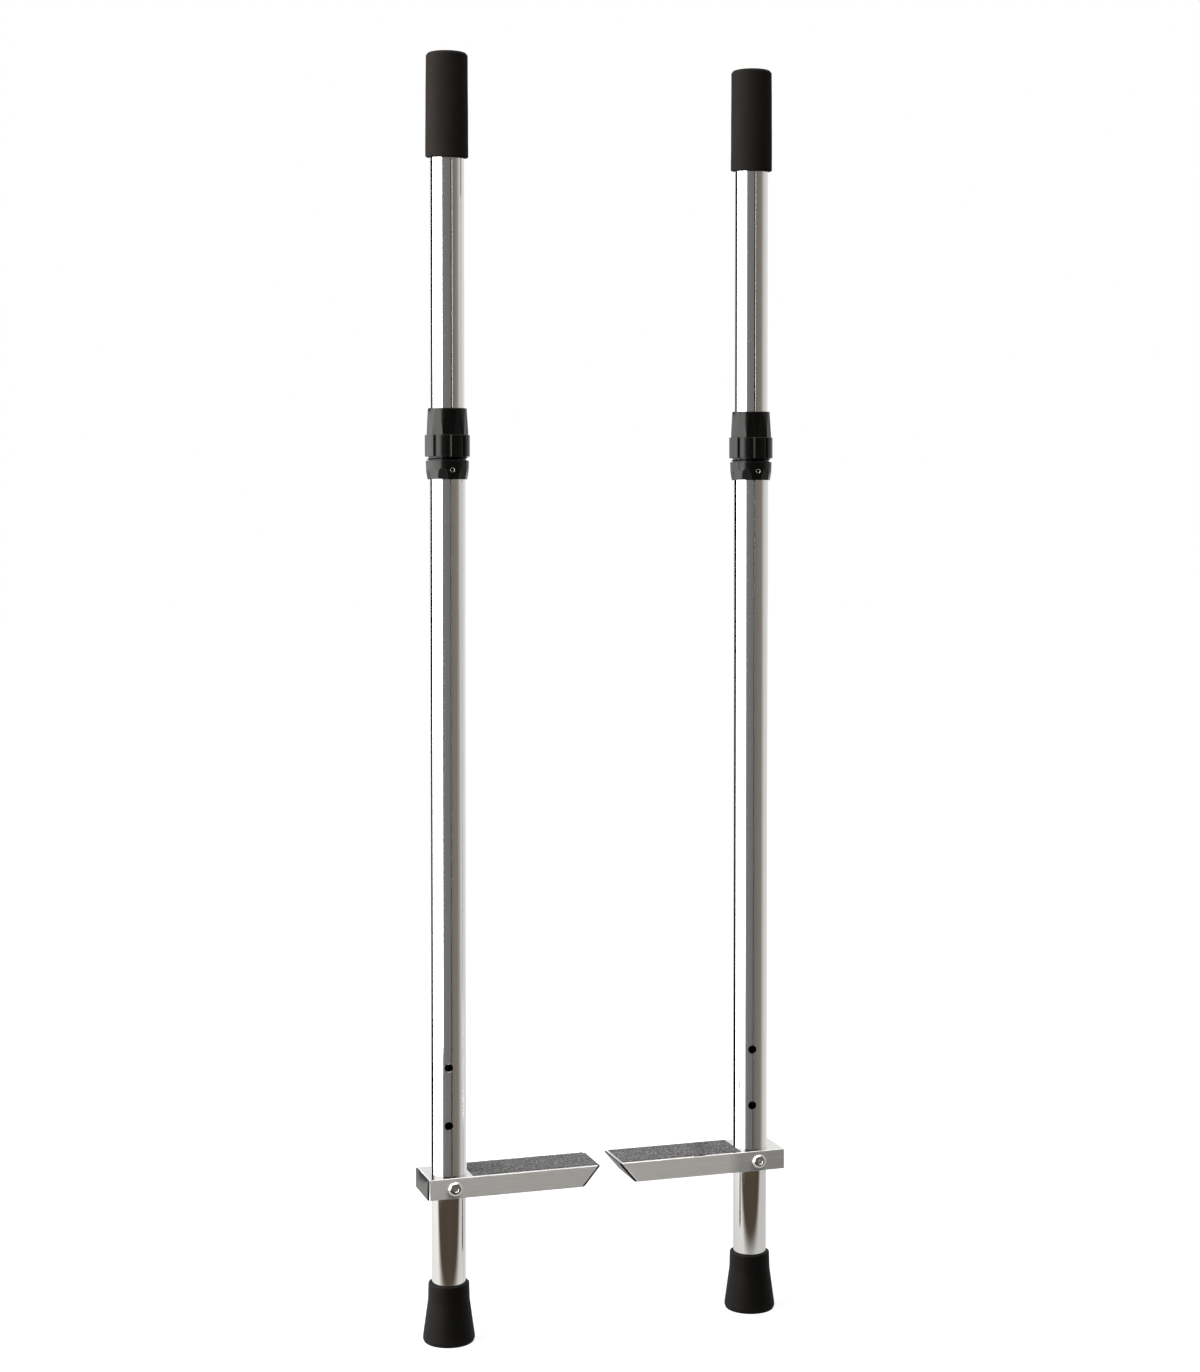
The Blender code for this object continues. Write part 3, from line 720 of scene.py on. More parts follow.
def clamp_collar(side):
    x, _ = SIDES[side]
    view = VIEW_AZ[side]
    n = 432
    phi = np.arange(n) * TAU / n
    corner = view - 57.0
    facet = flats(phi, 12, corner)
    body = rounded([(17.85, 845.0, 0.2), (19.45, 845.0, 0.35), (20.75, 853.6, 5.0), (21.08, 862.9, 0.3), (20.7, 863.2, 0.2), (18.45, 863.2, 0.3)], closed=False, step=9.0)
    body = refined(body, 0.4, closed=False)
    loops = []
    for r, z in body:
        radius = np.full(n, float(r))
        if r > 18.6 and z < 860.0:
            radius = np.minimum(radius, collar_flat(z) * facet)
        loops.append(ring_points(phi, radius, z))
    lead, root, crest = 3.0, 18.45, 20.25
    z = 863.4
    while z < 883.2:
        turn = ((z - 862.6 - lead * (phi - math.radians(view - 150.0)) / TAU) / lead) % 1.0
        ridge = np.clip(1.18 - np.abs(turn - 0.5) * 4.6, 0.0, 1.0)
        fade = min(1.0, (883.2 - z) / 1.5)
        loops.append(ring_points(phi, root + (crest - root) * ridge * max(fade, 0.0), z))
        z += 0.16
    for r, zz in ((18.45, 883.4), (18.0, 884.0), (17.05, 884.0), (17.05, 870.0), (17.85, 870.0)):
        loops.append(ring_points(phi, np.full(n, r), zz))
    verts, faces = loft(loops, wrap=True)
    obj = build(side + "_collar", verts, faces, (x, AXIS_Y, 0.0), sharp=40.0)
    hole = drill(2.65, 8.0, (x, AXIS_Y, 0.0), 0.0, 854.0, segments=40)
    hole.matrix_world = hole.matrix_world @ Matrix.Translation((0, 0, 22.0 * MM))
    bored(obj, [hole])

    def rule(co, face, mid):
        r = math.hypot(mid.x, mid.y)
        out = (face.x * mid.x + face.y * mid.y) / r
        if not (845.6 < mid.z < 860.0 and r > 18.6 and out > 0.9):
            return None
        around = math.atan2(mid.x, -mid.y)
        step = TAU / 12
        across = (around - math.radians(corner)) % step - step / 2
        if r < collar_flat(mid.z) / math.cos(across) + 0.02 and collar_flat(mid.z) / math.cos(across) < 20.95:
            flat = flat_normal(around, 12, corner, -0.20)
            if face.dot(flat) > 0.995:
                return flat
        return None

    crisp(obj, rule, 40.0)
    dress(obj, "clamp")
    place(obj, side, "lower", "black_plastic", "clamp_collar")

    # set screw with a hexagon socket, its rim just below the collar's surface
    # its socket takes the near-black inside material, a painted shade
    obj = socket_screw(side + "_set_screw", [(0.0, 17.95), (2.1, 17.95), (2.4, 18.3), (2.4, 20.35), (2.30, 20.6), (2.15, 20.7)], 20.7, 18.6, 3.4, 48, skin="dull")
    obj.matrix_world = Matrix.Translation((x * MM, AXIS_Y * MM, 854.0 * MM)) @ Matrix.Rotation(math.pi / 2, 4, "X")
    place(obj, side, "lower", "steel", "collar_screw")


def socket_screw(name, outer, top, floor, across, segments, inside="socket", skin="steel"):
    """A screw along +Z: an outer profile from its tail to the edge of its top, then a hexagon socket down to its floor."""
    phi = np.arange(segments) * TAU / segments
    hexa = across / 2 * flats(phi, 6, 0.0)
    loops = []

    def ring(radius, z):
        loops.append(np.stack([radius * np.cos(phi), radius * np.sin(phi), np.broadcast_to(z, phi.shape)], axis=-1))

    for r, z in outer[1:]:
        ring(np.full(segments, float(r)), z)
    ring(hexa + 0.22, top)
    ring(hexa + 0.02, top - 0.22)
    for k in range(1, 5):
        ring(hexa, top - 0.3 + (floor - top + 0.3) * k / 4)
    ring(hexa * 0.55, floor - 0.25)
    verts, faces = loft(loops, pole_first=(0, 0, outer[0][1]), pole_last=(0, 0, floor - 0.6))
    obj = build(name, verts, faces, sharp=35.0)
    deep = [1 if p.center.z / MM > floor - 0.7 and math.hypot(p.center.x, p.center.y) / MM < across * 0.585 and p.center.z / MM < top - 0.3 else 0 for p in obj.data.polygons]
    dress(obj, skin, inside)
    obj.data.polygons.foreach_set("material_index", deep)
    return obj


# ---------------------------------------------------------------- footrest
def section(width, height, corner, per_corner=6):
    """A rounded rectangle in (across, up) about its middle."""
    out = []
    for cx, cz, start in ((1, 1, 0), (-1, 1, 90), (-1, -1, 180), (1, -1, 270)):
        for k in range(per_corner + 1):
            a = math.radians(start + 90 * k / per_corner)
            out.append((cx * (width / 2 - corner) + corner * math.cos(a), cz * (height / 2 - corner) + corner * math.sin(a)))
    return np.array(out)


def along(sec, u, lean, inward):
    """The section set across the beam at u, sheared with the mitre; u and z in mm about the pole's axis."""
    z = sec[:, 1] + BEAM_MID
    uu = u + lean * (z - BEAM_MID)
    return np.stack([inward * uu, sec[:, 0], z], axis=-1)


def beam(side):
    x, inward = SIDES[side]
    corner = 0.75
    outer = section(BEAM_W, BEAM_H, corner)
    inner = section(BEAM_W - 2 * BEAM_WALL, BEAM_H - 2 * BEAM_WALL, 0.5)
    tip = TIP_MID - FLANGE_IN - GAP
    end = BEAM_OUT - GAP - FLANGE_OUT if side in FLUSH_PLUG else BEAM_OUT
    e = 0.12
    small = section(BEAM_W - 2 * e, BEAM_H - 2 * e, corner - e)
    loops = [along(small, end, 0, inward), along(outer, end + e, 0, inward), along(outer, tip - e, TIP_LEAN, inward),
             along(small, tip, TIP_LEAN, inward), along(inner, tip, TIP_LEAN, inward), along(inner, end, 0, inward)]
    verts, faces = loft(loops, wrap=True)
    obj = build(side + "_footrest", verts, faces, (x, AXIS_Y, 0.0), sharp=35.0)
    phi = np.arange(160) * TAU / 160
    cyl = [ring_points(phi, np.full(160, 18.0), z) for z in (BEAM_Z - 15, BEAM_TOP + 15)]
    pv, pf = loft(cyl, pole_first=(0, 0, BEAM_Z - 15), pole_last=(0, 0, BEAM_TOP + 15))
    bored(obj, [build("pole_hole", pv, pf, (x, AXIS_Y, 0.0)), drill(HOLE_R, 60.0, (x, AXIS_Y, 0.0), 0.0, BEAM_MID)])

    def rule(co, face):
        y, z = co.y, co.z - BEAM_MID
        if abs(face.x) > 0.3:
            return None
        big = max(abs(face.y), abs(face.z))
        if big > 0.9995:
            return (0.0, round(face.y), round(face.z))
        if abs(y) > BEAM_W / 2 - corner - 0.01 and abs(z) > BEAM_H / 2 - corner - 0.01 and math.hypot(abs(y) - BEAM_W / 2 + corner, abs(z) - BEAM_H / 2 + corner) > corner - 0.05:
            v = Vector((0.0, y - math.copysign(BEAM_W / 2 - corner, y), z - math.copysign(BEAM_H / 2 - corner, z))).normalized()
            return tuple(v)
        return None

    set_normals(obj, rule, sharp=35.0)
    dress(obj, "beam_right" if side == "right" else "beam", "inside")
    inner_face = []
    for poly in obj.data.polygons:
        c = poly.center / MM
        inner_face.append(1 if abs(c.y) < BEAM_W / 2 - BEAM_WALL + 0.05 and abs(c.z - BEAM_MID) < BEAM_H / 2 - BEAM_WALL + 0.05 else 0)
    obj.data.polygons.foreach_set("material_index", inner_face)
    obj.visible_glossy = False
    place(obj, side, "lower", "satin_aluminium", "footrest_beam")


def plug(side, which):
    """A pressed-in end plug: a pillowed flange with soft edges and a hollow ribbed stem."""
    x, inward = SIDES[side]
    lean = TIP_LEAN if which == "inner" else 0.0
    if which == "inner":
        face, back, sign, thick = TIP_MID, TIP_MID - FLANGE_IN, 1, FLANGE_IN
    else:
        face, back, sign, thick = BEAM_OUT - GAP - FLANGE_OUT, BEAM_OUT - GAP, -1, FLANGE_OUT
    flush = which == "outer" and side in FLUSH_PLUG
    stem_w = BEAM_WALL + GAP
    rim = stem_w if flush else 0.0
    loops = []

    def ring(shrink, depth, corner):
        sec = section(BEAM_W - 2 * shrink, BEAM_H - 2 * shrink, max(corner, 0.15))
        loops.append(along(sec, face - sign * depth, lean, inward))

    turn = 1.25 if which == "inner" or flush else 1.9
    for shrink, depth in ((7.4, 0.02), (6.2, 0.03), (5.0, 0.05), (4.0, 0.07), (3.0, 0.10), (2.2, 0.14)):
        ring(rim + turn - 1.25 + shrink, depth, 0.6)
    for k in range(9):
        a = math.radians(90 * k / 8)
        ring(rim + turn * (1 - math.sin(a)), 0.18 + (thick - 0.60) * (turn / 1.9) * (1 - math.cos(a)), 1.1 - 0.3 * math.cos(a))
    if not flush:
        ring(0.0, thick - 0.25, 1.1)
        ring(0.25, thick, 0.9)
    ring(stem_w, thick, 0.5)
    length = 6.3 if which == "outer" else 13.9
    for k in range(4):
        start = thick + length * k / 4
        ring(stem_w, start + 0.25, 0.5)
        ring(stem_w, start + length / 4 - 0.9, 0.5)
        ring(stem_w + 0.5, start + length / 4 - 0.6, 0.4)
        ring(stem_w + 0.5, start + length / 4 - 0.1, 0.4)
    ring(stem_w + 0.5, thick + length, 0.4)
    ring(stem_w + 1.8, thick + length, 0.3)
    ring(stem_w + 1.8, thick - 0.3, 0.3)
    mid = along(np.array([[0.0, 0.0]]), face, lean, inward)[0]
    deep = along(np.array([[0.0, 0.0]]), face - sign * (thick - 0.3), lean, inward)[0]
    verts, faces = loft(loops, pole_first=tuple(mid), pole_last=tuple(deep))
    obj = build(side + "_" + which + "_plug", verts, faces, (x, AXIS_Y, 0.0), sharp=38.0)
    dress(obj, "plug")
    obj.visible_glossy = False
    place(obj, side, "lower", "black_plastic", which + "_end_plug")


def tread(side):
    """A gritty strip: a thin sheet with a rough grainy top and slightly worn edges."""
    x, inward = SIDES[side]
    rng = np.random.default_rng(11 if side == "left" else 12)
    u0, u1 = PAD_U
    nu, nv = 211, 79
    us = np.linspace(u0, u1, nu)
    vs = np.linspace(-PAD_W / 2, PAD_W / 2, nv)
    grain = rng.normal(0.0, 1.0, (nu, nv))
    soft = grain.copy()
    soft[1:-1, 1:-1] = (grain[1:-1, 1:-1] * 2 + grain[:-2, 1:-1] + grain[2:, 1:-1] + grain[1:-1, :-2] + grain[1:-1, 2:]) / 4
    low, high = BEAM_TOP + GAP, BEAM_TOP + GAP + PAD_T
    edge = np.minimum(np.minimum(np.arange(nu)[:, None], np.arange(nu)[::-1][:, None]), np.minimum(np.arange(nv)[None, :], np.arange(nv)[::-1][None, :]))
    top = high - 0.22 + 0.11 * np.clip(soft, -1.6, 2.0) - 0.30 * (edge == 0)
    verts, faces = [], []
    for i in range(nu):
        for j in range(nv):
            verts.append((inward * us[i], vs[j], top[i, j]))
    for i in range(nu - 1):
        for j in range(nv - 1):
            a = i * nv + j
            faces.append((a, a + nv, a + nv + 1, a + 1))
    rim = [i * nv for i in range(nu)] + [(nu - 1) * nv + j for j in range(1, nv)] + [i * nv + nv - 1 for i in range(nu - 2, -1, -1)] + [j for j in range(nv - 2, 0, -1)]
    base = len(verts)
    for v in rim:
        px, py, _ = verts[v]
        verts.append((px, py, low))
    count = len(rim)
    for k in range(count):
        faces.append((rim[k], rim[(k + 1) % count], base + (k + 1) % count, base + k))
    faces.append(tuple(base + k for k in range(count)))
    obj = build(side + "_tread", verts, faces, (x, AXIS_Y, 0.0), sharp=70.0)
    dress(obj, "grit")
    obj.visible_glossy = False
    place(obj, side, "lower", "grit", "tread_pad")


def fasteners(side):
    x, _ = SIDES[side]
    seat = BEAM_W / 2 + GAP
    # button-head screw
    head_r, head_h = 7.0, 4.2
    length = BEAM_W + 2 * GAP + 1.5 + GAP + 9.4
    outer = [(0.0, -length), (3.2, -length), (3.95, -length + 0.8)]
    z = -length + 1.6
    while z < -length + 14.0:
        outer += [(3.95, z), (3.55, z + 0.62)]
        z += 1.25
    outer += [(3.95, z), (3.95, -0.6), (4.3, -0.15), (5.4, 0.0), (head_r - 0.35, 0.0), (head_r, 0.25), (head_r, 0.75)]
    for k in range(1, 13):
        t = k / 13
        a = math.radians(8 + 60 * t)
        outer.append((3.55 + (head_r - 3.55) * (1 - t ** 1.75), 0.75 + (head_h - 0.75) * math.sin(math.radians(90 * t)) ** 0.9))
    outer.append((3.5, head_h))
    bolt = socket_screw(side + "_button_screw", outer, head_h, head_h - 1.7, 4.6, 96, inside="recess")
    bolt.matrix_world = Matrix.Translation((x * MM, (AXIS_Y - seat) * MM, BEAM_MID * MM)) @ Matrix.Rotation(math.pi / 2, 4, "X") @ Matrix.Rotation(math.radians(14), 4, "Z")
    place(bolt, side, "lower", "steel", "footrest_bolt")
    # washer
    back = Matrix.Translation((x * MM, (AXIS_Y + seat) * MM, BEAM_MID * MM)) @ Matrix.Rotation(-math.pi / 2, 4, "X")
    washer = lathe(side + "_washer", rounded([(8.0, 1.5, 0.35), (8.0, 0.0, 0.2), (4.3, 0.0, 0.1), (4.3, 1.5, 0.1)], step=15.0), 96, (0, 0, 0), sharp=35.0)
    washer.matrix_world = back
    dress(washer, "steel")
    place(washer, side, "lower", "steel", "bolt_washer")
    # closed nut: chamfered hexagon under a dome, bored from behind
    n = 96
    phi = np.arange(n) * TAU / n
    hexa = 6.5 * flats(phi, 6, 30.0)
    base, hex_h, total = 1.5 + GAP, 6.8, 12.6
    loops = []

    def ring(radius, zz):
        radius = np.broadcast_to(radius, phi.shape)
        loops.append(np.stack([radius * np.cos(phi), radius * np.sin(phi), np.full(n, float(zz))], axis=-1))

    for r, zz in ((4.25, base + 9.8), (4.25, base + 0.5), (4.7, base)):
        ring(r, zz)
    for k in range(5):
        ring(np.minimum(hexa, 6.75 + 0.75 * k / 4), base + 0.55 * k / 4)
    for k in range(1, 9):
        zz = base + 0.55 + (hex_h - 1.0) * k / 8
        ring(np.minimum(hexa, 7.55), zz)
    for k in range(1, 6):
        ring(np.minimum(hexa, 7.5 - 1.1 * k / 5), base + hex_h - 0.45 + 0.45 * k / 5)
    ring(6.05, base + hex_h + 0.05)
    for k in range(1, 12):
        a = math.radians(90 * k / 12)
        ring(5.95 * math.cos(a), base + hex_h + 0.15 + (total - hex_h - 0.15) * math.sin(a))
    verts, faces = loft(loops, pole_first=(0, 0, base + 10.4), pole_last=(0, 0, base + total))
    nut = build(side + "_dome_nut", verts, faces, sharp=32.0)
    nut.matrix_world = back
    dress(nut, "steel")
    place(nut, side, "lower", "steel", "cap_nut")


for side in SIDES:
    poles(side)
    ferrule(side)
    grip(side)
    clamp_nut(side)
    clamp_collar(side)
    beam(side)
    plug(side, "outer")
    plug(side, "inner")
    tread(side)
    fasteners(side)
    for node, key in (("ferrule_disc", "disc"), ("clamp_collet", "inner"), ("slip_ring", "slip"), ("guide_bush", "inner"), ("grip_plug", "inner")):
        dress(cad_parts[side + "_" + node], key)


# ---------------------------------------------------------------- stage: floor, studio cards, backdrop light
def card(name, corners, emit=None, seen=()):
    """A flat stage card with its corners in metres, seen only by the named kinds of ray."""
    mesh = bpy.data.meshes.new(name)
    mesh.from_pydata(corners, [], [tuple(range(len(corners)))])
    obj = bpy.data.objects.new(name, mesh)
    bpy.context.scene.collection.objects.link(obj)
    for kind in ("camera", "diffuse", "glossy", "transmission", "volume_scatter", "shadow"):
        setattr(obj, "visible_" + kind, kind in seen)
    mat = bpy.data.materials.new(name)
    mat.use_nodes = True
    tree = mat.node_tree
    tree.nodes.clear()
    out = tree.nodes.new("ShaderNodeOutputMaterial")
    mesh.materials.append(mat)
    if emit is not None:
        e = tree.nodes.new("ShaderNodeEmission")
        e.inputs["Color"].default_value = (*emit[:3], 1.0)
        e.inputs["Strength"].default_value = emit[3]
        tree.links.new(e.outputs["Emission"], out.inputs["Surface"])
    return obj, tree, out


# the pale floor that is seen, and that catches soft contact shadows
floor, tree, out = card("floor", [(-14, -14, -0.0002), (14, -14, -0.0002), (14, 14, -0.0002), (-14, 14, -0.0002)], seen=("camera", "shadow"))
diffuse = tree.nodes.new("ShaderNodeBsdfDiffuse")
diffuse.inputs["Color"].default_value = (0.30, 0.30, 0.30, 1.0)
glow = tree.nodes.new("ShaderNodeEmission")
glow.inputs["Color"].default_value = (1.0, 1.0, 1.0, 1.0)
spot = tree.nodes.new("ShaderNodeTexCoord")
reach = tree.nodes.new("ShaderNodeVectorMath")
reach.operation = "LENGTH"
tree.links.new(spot.outputs["Object"], reach.inputs[0])
fade = tree.nodes.new("ShaderNodeMapRange")
for key, v in (("From Min", 0.25), ("From Max", 0.9), ("To Min", 0.90), ("To Max", 1.3)):
    fade.inputs[key].default_value = v
tree.links.new(reach.outputs["Value"], fade.inputs["Value"])
tree.links.new(fade.outputs["Result"], glow.inputs["Strength"])
both = tree.nodes.new("ShaderNodeAddShader")
tree.links.new(diffuse.outputs["BSDF"], both.inputs[0])
tree.links.new(glow.outputs["Emission"], both.inputs[1])
tree.links.new(both.outputs["Shader"], out.inputs["Surface"])

# the white table top and the darker room in front of it, as the polished poles see them
sheet, tree, out = card("table_reflection", [(-4, -4, -0.0004), (4, -4, -0.0004), (4, 4, -0.0004), (-4, 4, -0.0004)], seen=("glossy",))
place_node = tree.nodes.new("ShaderNodeTexCoord")
split = tree.nodes.new("ShaderNodeSeparateXYZ")
tree.links.new(place_node.outputs["Object"], split.inputs["Vector"])


def calc(tree, op, a, b):
    n = tree.nodes.new("ShaderNodeMath")
    n.operation = op
    for socket, v in zip(n.inputs, (a, b)):
        if isinstance(v, (int, float)):
            socket.default_value = v
        else:
            tree.links.new(v, socket)
    return n.outputs["Value"]


def ramp(tree, value, stops):
    n = tree.nodes.new("ShaderNodeValToRGB")
    e = n.color_ramp.elements
    while len(e) < len(stops):
        e.new(0.5)
    for item, (pos, colour) in zip(e, stops):
        item.position = pos
        item.color = (*colour, 1.0)
    tree.links.new(value, n.inputs["Fac"])
    return n.outputs["Color"]


across = calc(tree, "ADD", calc(tree, "MULTIPLY", split.outputs["X"], 0.5), 0.5)          # x from -1 m to 1 m
white = ramp(tree, across, [(0.22, (1.0, 0.985, 0.96)), (0.38, (0.86, 0.845, 0.82)), (0.60, (0.62, 0.61, 0.59)), (0.8, (0.58, 0.575, 0.56))])
edge = calc(tree, "ADD", calc(tree, "ADD", split.outputs["Y"], calc(tree, "MULTIPLY", split.outputs["X"], 0.264)), 0.180)
share = tree.nodes.new("ShaderNodeMapRange")
share.interpolation_type = "SMOOTHSTEP"
for key, v in (("From Min", -0.075), ("From Max", 0.075), ("To Min", 0.0), ("To Max", 1.0)):
    share.inputs[key].default_value = v
tree.links.new(edge, share.inputs["Value"])
mix = tree.nodes.new("ShaderNodeMix")
mix.data_type = "RGBA"
tree.links.new(share.outputs["Result"], mix.inputs["Factor"])
colours = [s for s in mix.inputs if s.type == "RGBA"]
colours[0].default_value = (0.078, 0.058, 0.040, 1.0)
tree.links.new(white, colours[1])
emit = tree.nodes.new("ShaderNodeEmission")
tree.links.new([s for s in mix.outputs if s.type == "RGBA"][0], emit.inputs["Color"])
near = tree.nodes.new("ShaderNodeLightPath")
far = tree.nodes.new("ShaderNodeMapRange")
for key, v in (("From Min", 0.535), ("From Max", 0.60), ("To Min", 0.0), ("To Max", 1.0)):
    far.inputs[key].default_value = v
tree.links.new(near.outputs["Ray Length"], far.inputs["Value"])
clear = tree.nodes.new("ShaderNodeBsdfTransparent")
either = tree.nodes.new("ShaderNodeMixShader")
tree.links.new(far.outputs["Result"], either.inputs["Fac"])
tree.links.new(emit.outputs["Emission"], either.inputs[1])
tree.links.new(clear.outputs["BSDF"], either.inputs[2])
tree.links.new(either.outputs["Shader"], out.inputs["Surface"])

# large soft box on the left
def upright(x, y0, y1, z0, z1):
    return [(x, y0, z0), (x, y1, z0), (x, y1, z1), (x, y0, z1)]


def level(z, x0, x1, y0, y1):
    return [(x0, y0, z), (x1, y0, z), (x1, y1, z), (x0, y1, z)]


_, tree, out = card("soft_box_left", upright(-1.14, -0.89, 1.12, 0.0, 2.3), seen=("glossy",))
bpy.data.materials["soft_box_left"].cycles.emission_sampling = "NONE"
emit = tree.nodes.new("ShaderNodeEmission")
where = tree.nodes.new("ShaderNodeTexCoord")
split = tree.nodes.new("ShaderNodeSeparateXYZ")
tree.links.new(where.outputs["Object"], split.inputs["Vector"])
fall = ramp(tree, calc(tree, "ADD", calc(tree, "MULTIPLY", split.outputs["Y"], 0.4), 0.5),
            [(0.62, (1.0, 0.99, 0.975)), (0.726, (0.72, 0.713, 0.702)), (0.808, (0.60, 0.594, 0.585)), (0.948, (0.44, 0.436, 0.429))])
tree.links.new(fall, emit.inputs["Color"])
path = tree.nodes.new("ShaderNodeLightPath")
again = tree.nodes.new("ShaderNodeMapRange")                                              # dimmer when seen by way of a second reflection
for key, v in (("From Min", 1.0), ("From Max", 2.0), ("To Min", 6.4), ("To Max", 1.1)):
    again.inputs[key].default_value = v
tree.links.new(path.outputs["Ray Depth"], again.inputs["Value"])
tree.links.new(again.outputs["Result"], emit.inputs["Strength"])
tree.links.new(emit.outputs["Emission"], out.inputs["Surface"])
card("soft_box_left_fill", upright(-1.15, -0.89, 0.86, 0.0, 2.3), emit=(1.0, 0.99, 0.975, 5.4), seen=("diffuse",))
# overhead soft box
_, tree, out = card("soft_box_top", level(2.5, -1.2, 1.4, -2.1, 0.9), seen=("glossy",))
where = tree.nodes.new("ShaderNodeTexCoord")
split = tree.nodes.new("ShaderNodeSeparateXYZ")
tree.links.new(where.outputs["Object"], split.inputs["Vector"])
fall = ramp(tree, calc(tree, "ADD", calc(tree, "MULTIPLY", split.outputs["X"], 0.5), 0.5),
            [(0.45, (0.90, 0.88, 0.855)), (0.68, (1.0, 0.98, 0.95))])
emit = tree.nodes.new("ShaderNodeEmission")
emit.inputs["Strength"].default_value = 3.65
tree.links.new(fall, emit.inputs["Color"])
tree.links.new(emit.outputs["Emission"], out.inputs["Surface"])
card("soft_box_top_fill", level(2.51, -1.2, 1.4, -1.2, 1.2), emit=(1.0, 1.0, 1.0, 1.1), seen=("diffuse",))
# weak fill from the right
card("fill_right", upright(1.9, -1.5, 1.5, 0.0, 2.3), emit=(1.0, 1.0, 1.0, 0.35), seen=("diffuse",))



def flag(name, side, radius, span, z0, z1, away=0.0):
    """A narrow black card just behind where a pole stands, seen from close by only: it draws the dark line along a tube's left edge."""
    reach, ends = 45.0, []
    for turn in span:
        a, b = math.radians(VIEW_AZ[side] + turn), math.radians(VIEW_AZ[side] + 2 * turn)
        ends.append(((SIDES[side][0] + away + radius * math.sin(a) + reach * math.sin(b)) * MM, (AXIS_Y - radius * math.cos(a) - reach * math.cos(b)) * MM))
    _, tree, out = card(name, [(*ends[0], z0), (*ends[1], z0), (*ends[1], z1), (*ends[0], z1)], seen=("glossy",))
    black = tree.nodes.new("ShaderNodeBsdfDiffuse")
    black.inputs["Color"].default_value = (0.0, 0.0, 0.0, 1.0)
    clear = tree.nodes.new("ShaderNodeBsdfTransparent")
    path = tree.nodes.new("ShaderNodeLightPath")
    far = tree.nodes.new("ShaderNodeMapRange")
    for key, v in (("From Min", 0.080), ("From Max", 0.085), ("To Min", 0.0), ("To Max", 1.0)):
        far.inputs[key].default_value = v
    tree.links.new(path.outputs["Ray Length"], far.inputs["Value"])
    either = tree.nodes.new("ShaderNodeMixShader")
    tree.links.new(far.outputs["Result"], either.inputs["Fac"])
    tree.links.new(black.outputs["BSDF"], either.inputs[1])
    tree.links.new(clear.outputs["BSDF"], either.inputs[2])
    tree.links.new(either.outputs["Shader"], out.inputs["Surface"])


flag("flag_left_main", "left", MAIN_R, (-56.5, -70.5), 0.150, 0.8475)
flag("flag_left_upper", "left", UPPER_R, (-56.0, -71.0), 0.9135, 1.320)
for where, away in (("", 0.0), ("_apart", 250.0)):
    flag("flag_right_main" + where, "right", MAIN_R, (-55.0, -70.0), 0.150, 0.8475, away)
    flag("flag_right_upper" + where, "right", UPPER_R, (-57.0, -72.0), 0.9135, 1.320, away)

# room: white behind and to the sides, grey behind the camera
world = bpy.data.worlds.new("studio")
bpy.context.scene.world = world
world.use_nodes = True
world.cycles_visibility.diffuse = False
tree = world.node_tree
tree.nodes.clear()
out = tree.nodes.new("ShaderNodeOutputWorld")
direction = tree.nodes.new("ShaderNodeTexCoord")
split = tree.nodes.new("ShaderNodeSeparateXYZ")
tree.links.new(direction.outputs["Generated"], split.inputs["Vector"])
angle = calc(tree, "ARCTAN2", split.outputs["X"], calc(tree, "MULTIPLY", split.outputs["Y"], -1.0))
turn = calc(tree, "ADD", calc(tree, "MULTIPLY", angle, 1.0 / TAU), 0.5)                    # 0.5 looks along -Y


def at(degrees):
    return degrees / 360.0 + 0.5


def part(*grey):
    """A room colour as a share of the brightest one, which is ROOM_PEAK."""
    return tuple(v / ROOM_PEAK for v in (grey * 3 if len(grey) == 1 else grey))


ROOM_PEAK = 3.0
room = ramp(tree, turn, [
    (at(-180), part(0.92)), (at(-164), part(0.92)), (at(-152), part(1.5)), (at(-139), part(2.6)),
    (at(-120), (1.0, 1.0, 0.99)), (at(-64), (1.0, 1.0, 0.99)), (at(-48), part(0.20)), (at(-10), part(0.175, 0.168, 0.16)),
    (at(14), part(0.172, 0.160, 0.148)), (at(38), part(0.215, 0.188, 0.152)), (at(54), part(0.24, 0.228, 0.212)), (at(66), part(0.42, 0.41, 0.40)),
    (at(76), part(0.60, 0.595, 0.57)), (at(112), part(0.74, 0.74, 0.72)), (at(150), part(0.86, 0.86, 0.85)), (at(180), part(0.92))])
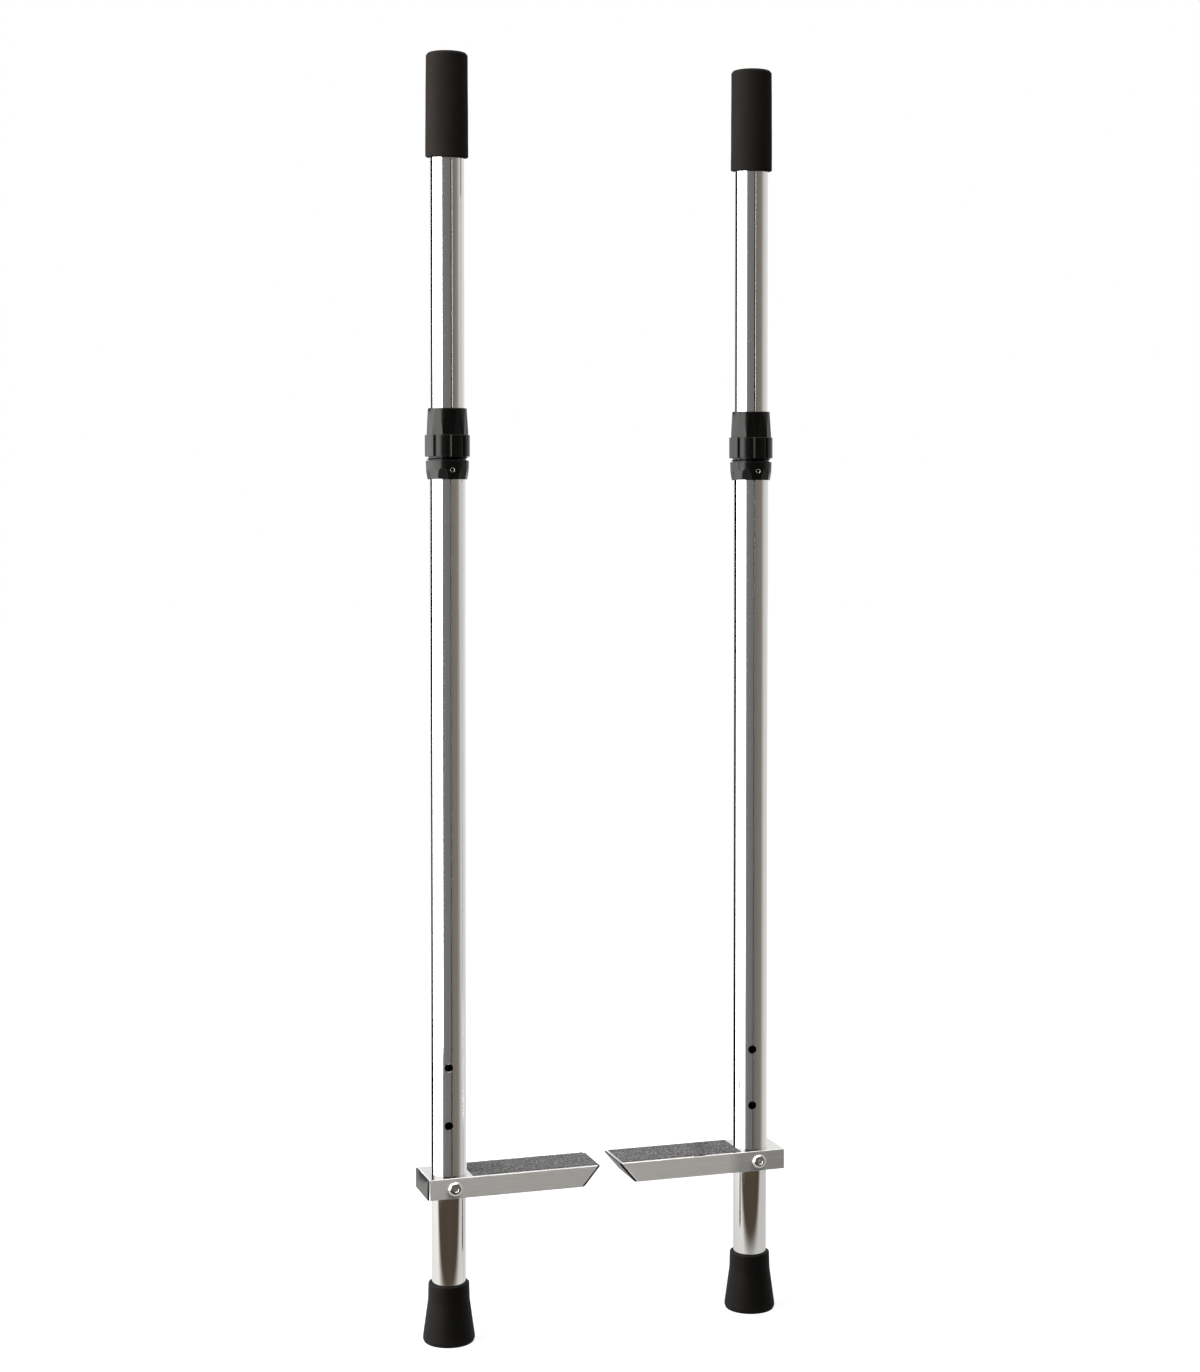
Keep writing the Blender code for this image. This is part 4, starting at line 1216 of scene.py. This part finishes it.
# the room's front is dark above the height that the poles reflect
front = ramp(tree, turn, [(at(-62), (0.0, 0.0, 0.0)), (at(-46), (1.0, 1.0, 1.0)), (at(30), (1.0, 1.0, 1.0)), (at(46), (0.0, 0.0, 0.0))])
above = tree.nodes.new("ShaderNodeMapRange")
for key, v in (("From Min", 0.18), ("From Max", 0.25), ("To Min", 0.0), ("To Max", 1.0)):
    above.inputs[key].default_value = v
tree.links.new(split.outputs["Z"], above.inputs["Value"])
dim = tree.nodes.new("ShaderNodeMix")
dim.data_type = "RGBA"
tree.links.new(calc(tree, "MULTIPLY", front, above.outputs["Result"]), dim.inputs["Factor"])
colours = [s for s in dim.inputs if s.type == "RGBA"]
tree.links.new(room, colours[0])
colours[1].default_value = (0.0035, 0.0035, 0.0035, 1.0)
room = [s for s in dim.outputs if s.type == "RGBA"][0]
shown = tree.nodes.new("ShaderNodeBackground")
shown.inputs["Color"].default_value = (1.0, 1.0, 1.0, 1.0)
lit = tree.nodes.new("ShaderNodeBackground")
lit.inputs["Strength"].default_value = ROOM_PEAK
tree.links.new(room, lit.inputs["Color"])
ray = tree.nodes.new("ShaderNodeLightPath")
pick = tree.nodes.new("ShaderNodeMixShader")
tree.links.new(ray.outputs["Is Camera Ray"], pick.inputs["Fac"])
tree.links.new(lit.outputs["Background"], pick.inputs[1])
tree.links.new(shown.outputs["Background"], pick.inputs[2])
tree.links.new(pick.outputs["Shader"], out.inputs["Surface"])

# ---------------------------------------------------------------- camera
IMAGE_W, IMAGE_H = 1200.0, 1372.0
FOCAL_PX, MIDDLE_Y = 2387.33, 566.49
yaw, pitch = math.radians(17.912), math.radians(1.6452)
data = bpy.data.cameras.new("photo_camera")
data.sensor_fit = "AUTO"
data.sensor_width = 36.0
data.lens = FOCAL_PX * 36.0 / IMAGE_H
data.shift_y = (MIDDLE_Y - IMAGE_H / 2) / IMAGE_H
data.clip_start, data.clip_end = 0.05, 100.0
camera = bpy.data.objects.new("photo_camera", data)
bpy.context.scene.collection.objects.link(camera)
camera.location = (-0.73167, -2.26160, 0.82698)
forward = Vector((math.sin(yaw) * math.cos(pitch), math.cos(yaw) * math.cos(pitch), -math.sin(pitch)))
camera.rotation_mode = "QUATERNION"
camera.rotation_quaternion = forward.to_track_quat("-Z", "Y")
bpy.context.scene.camera = camera

bpy.context.scene.view_settings.view_transform = "Standard"
bpy.context.scene.view_settings.look = "None"
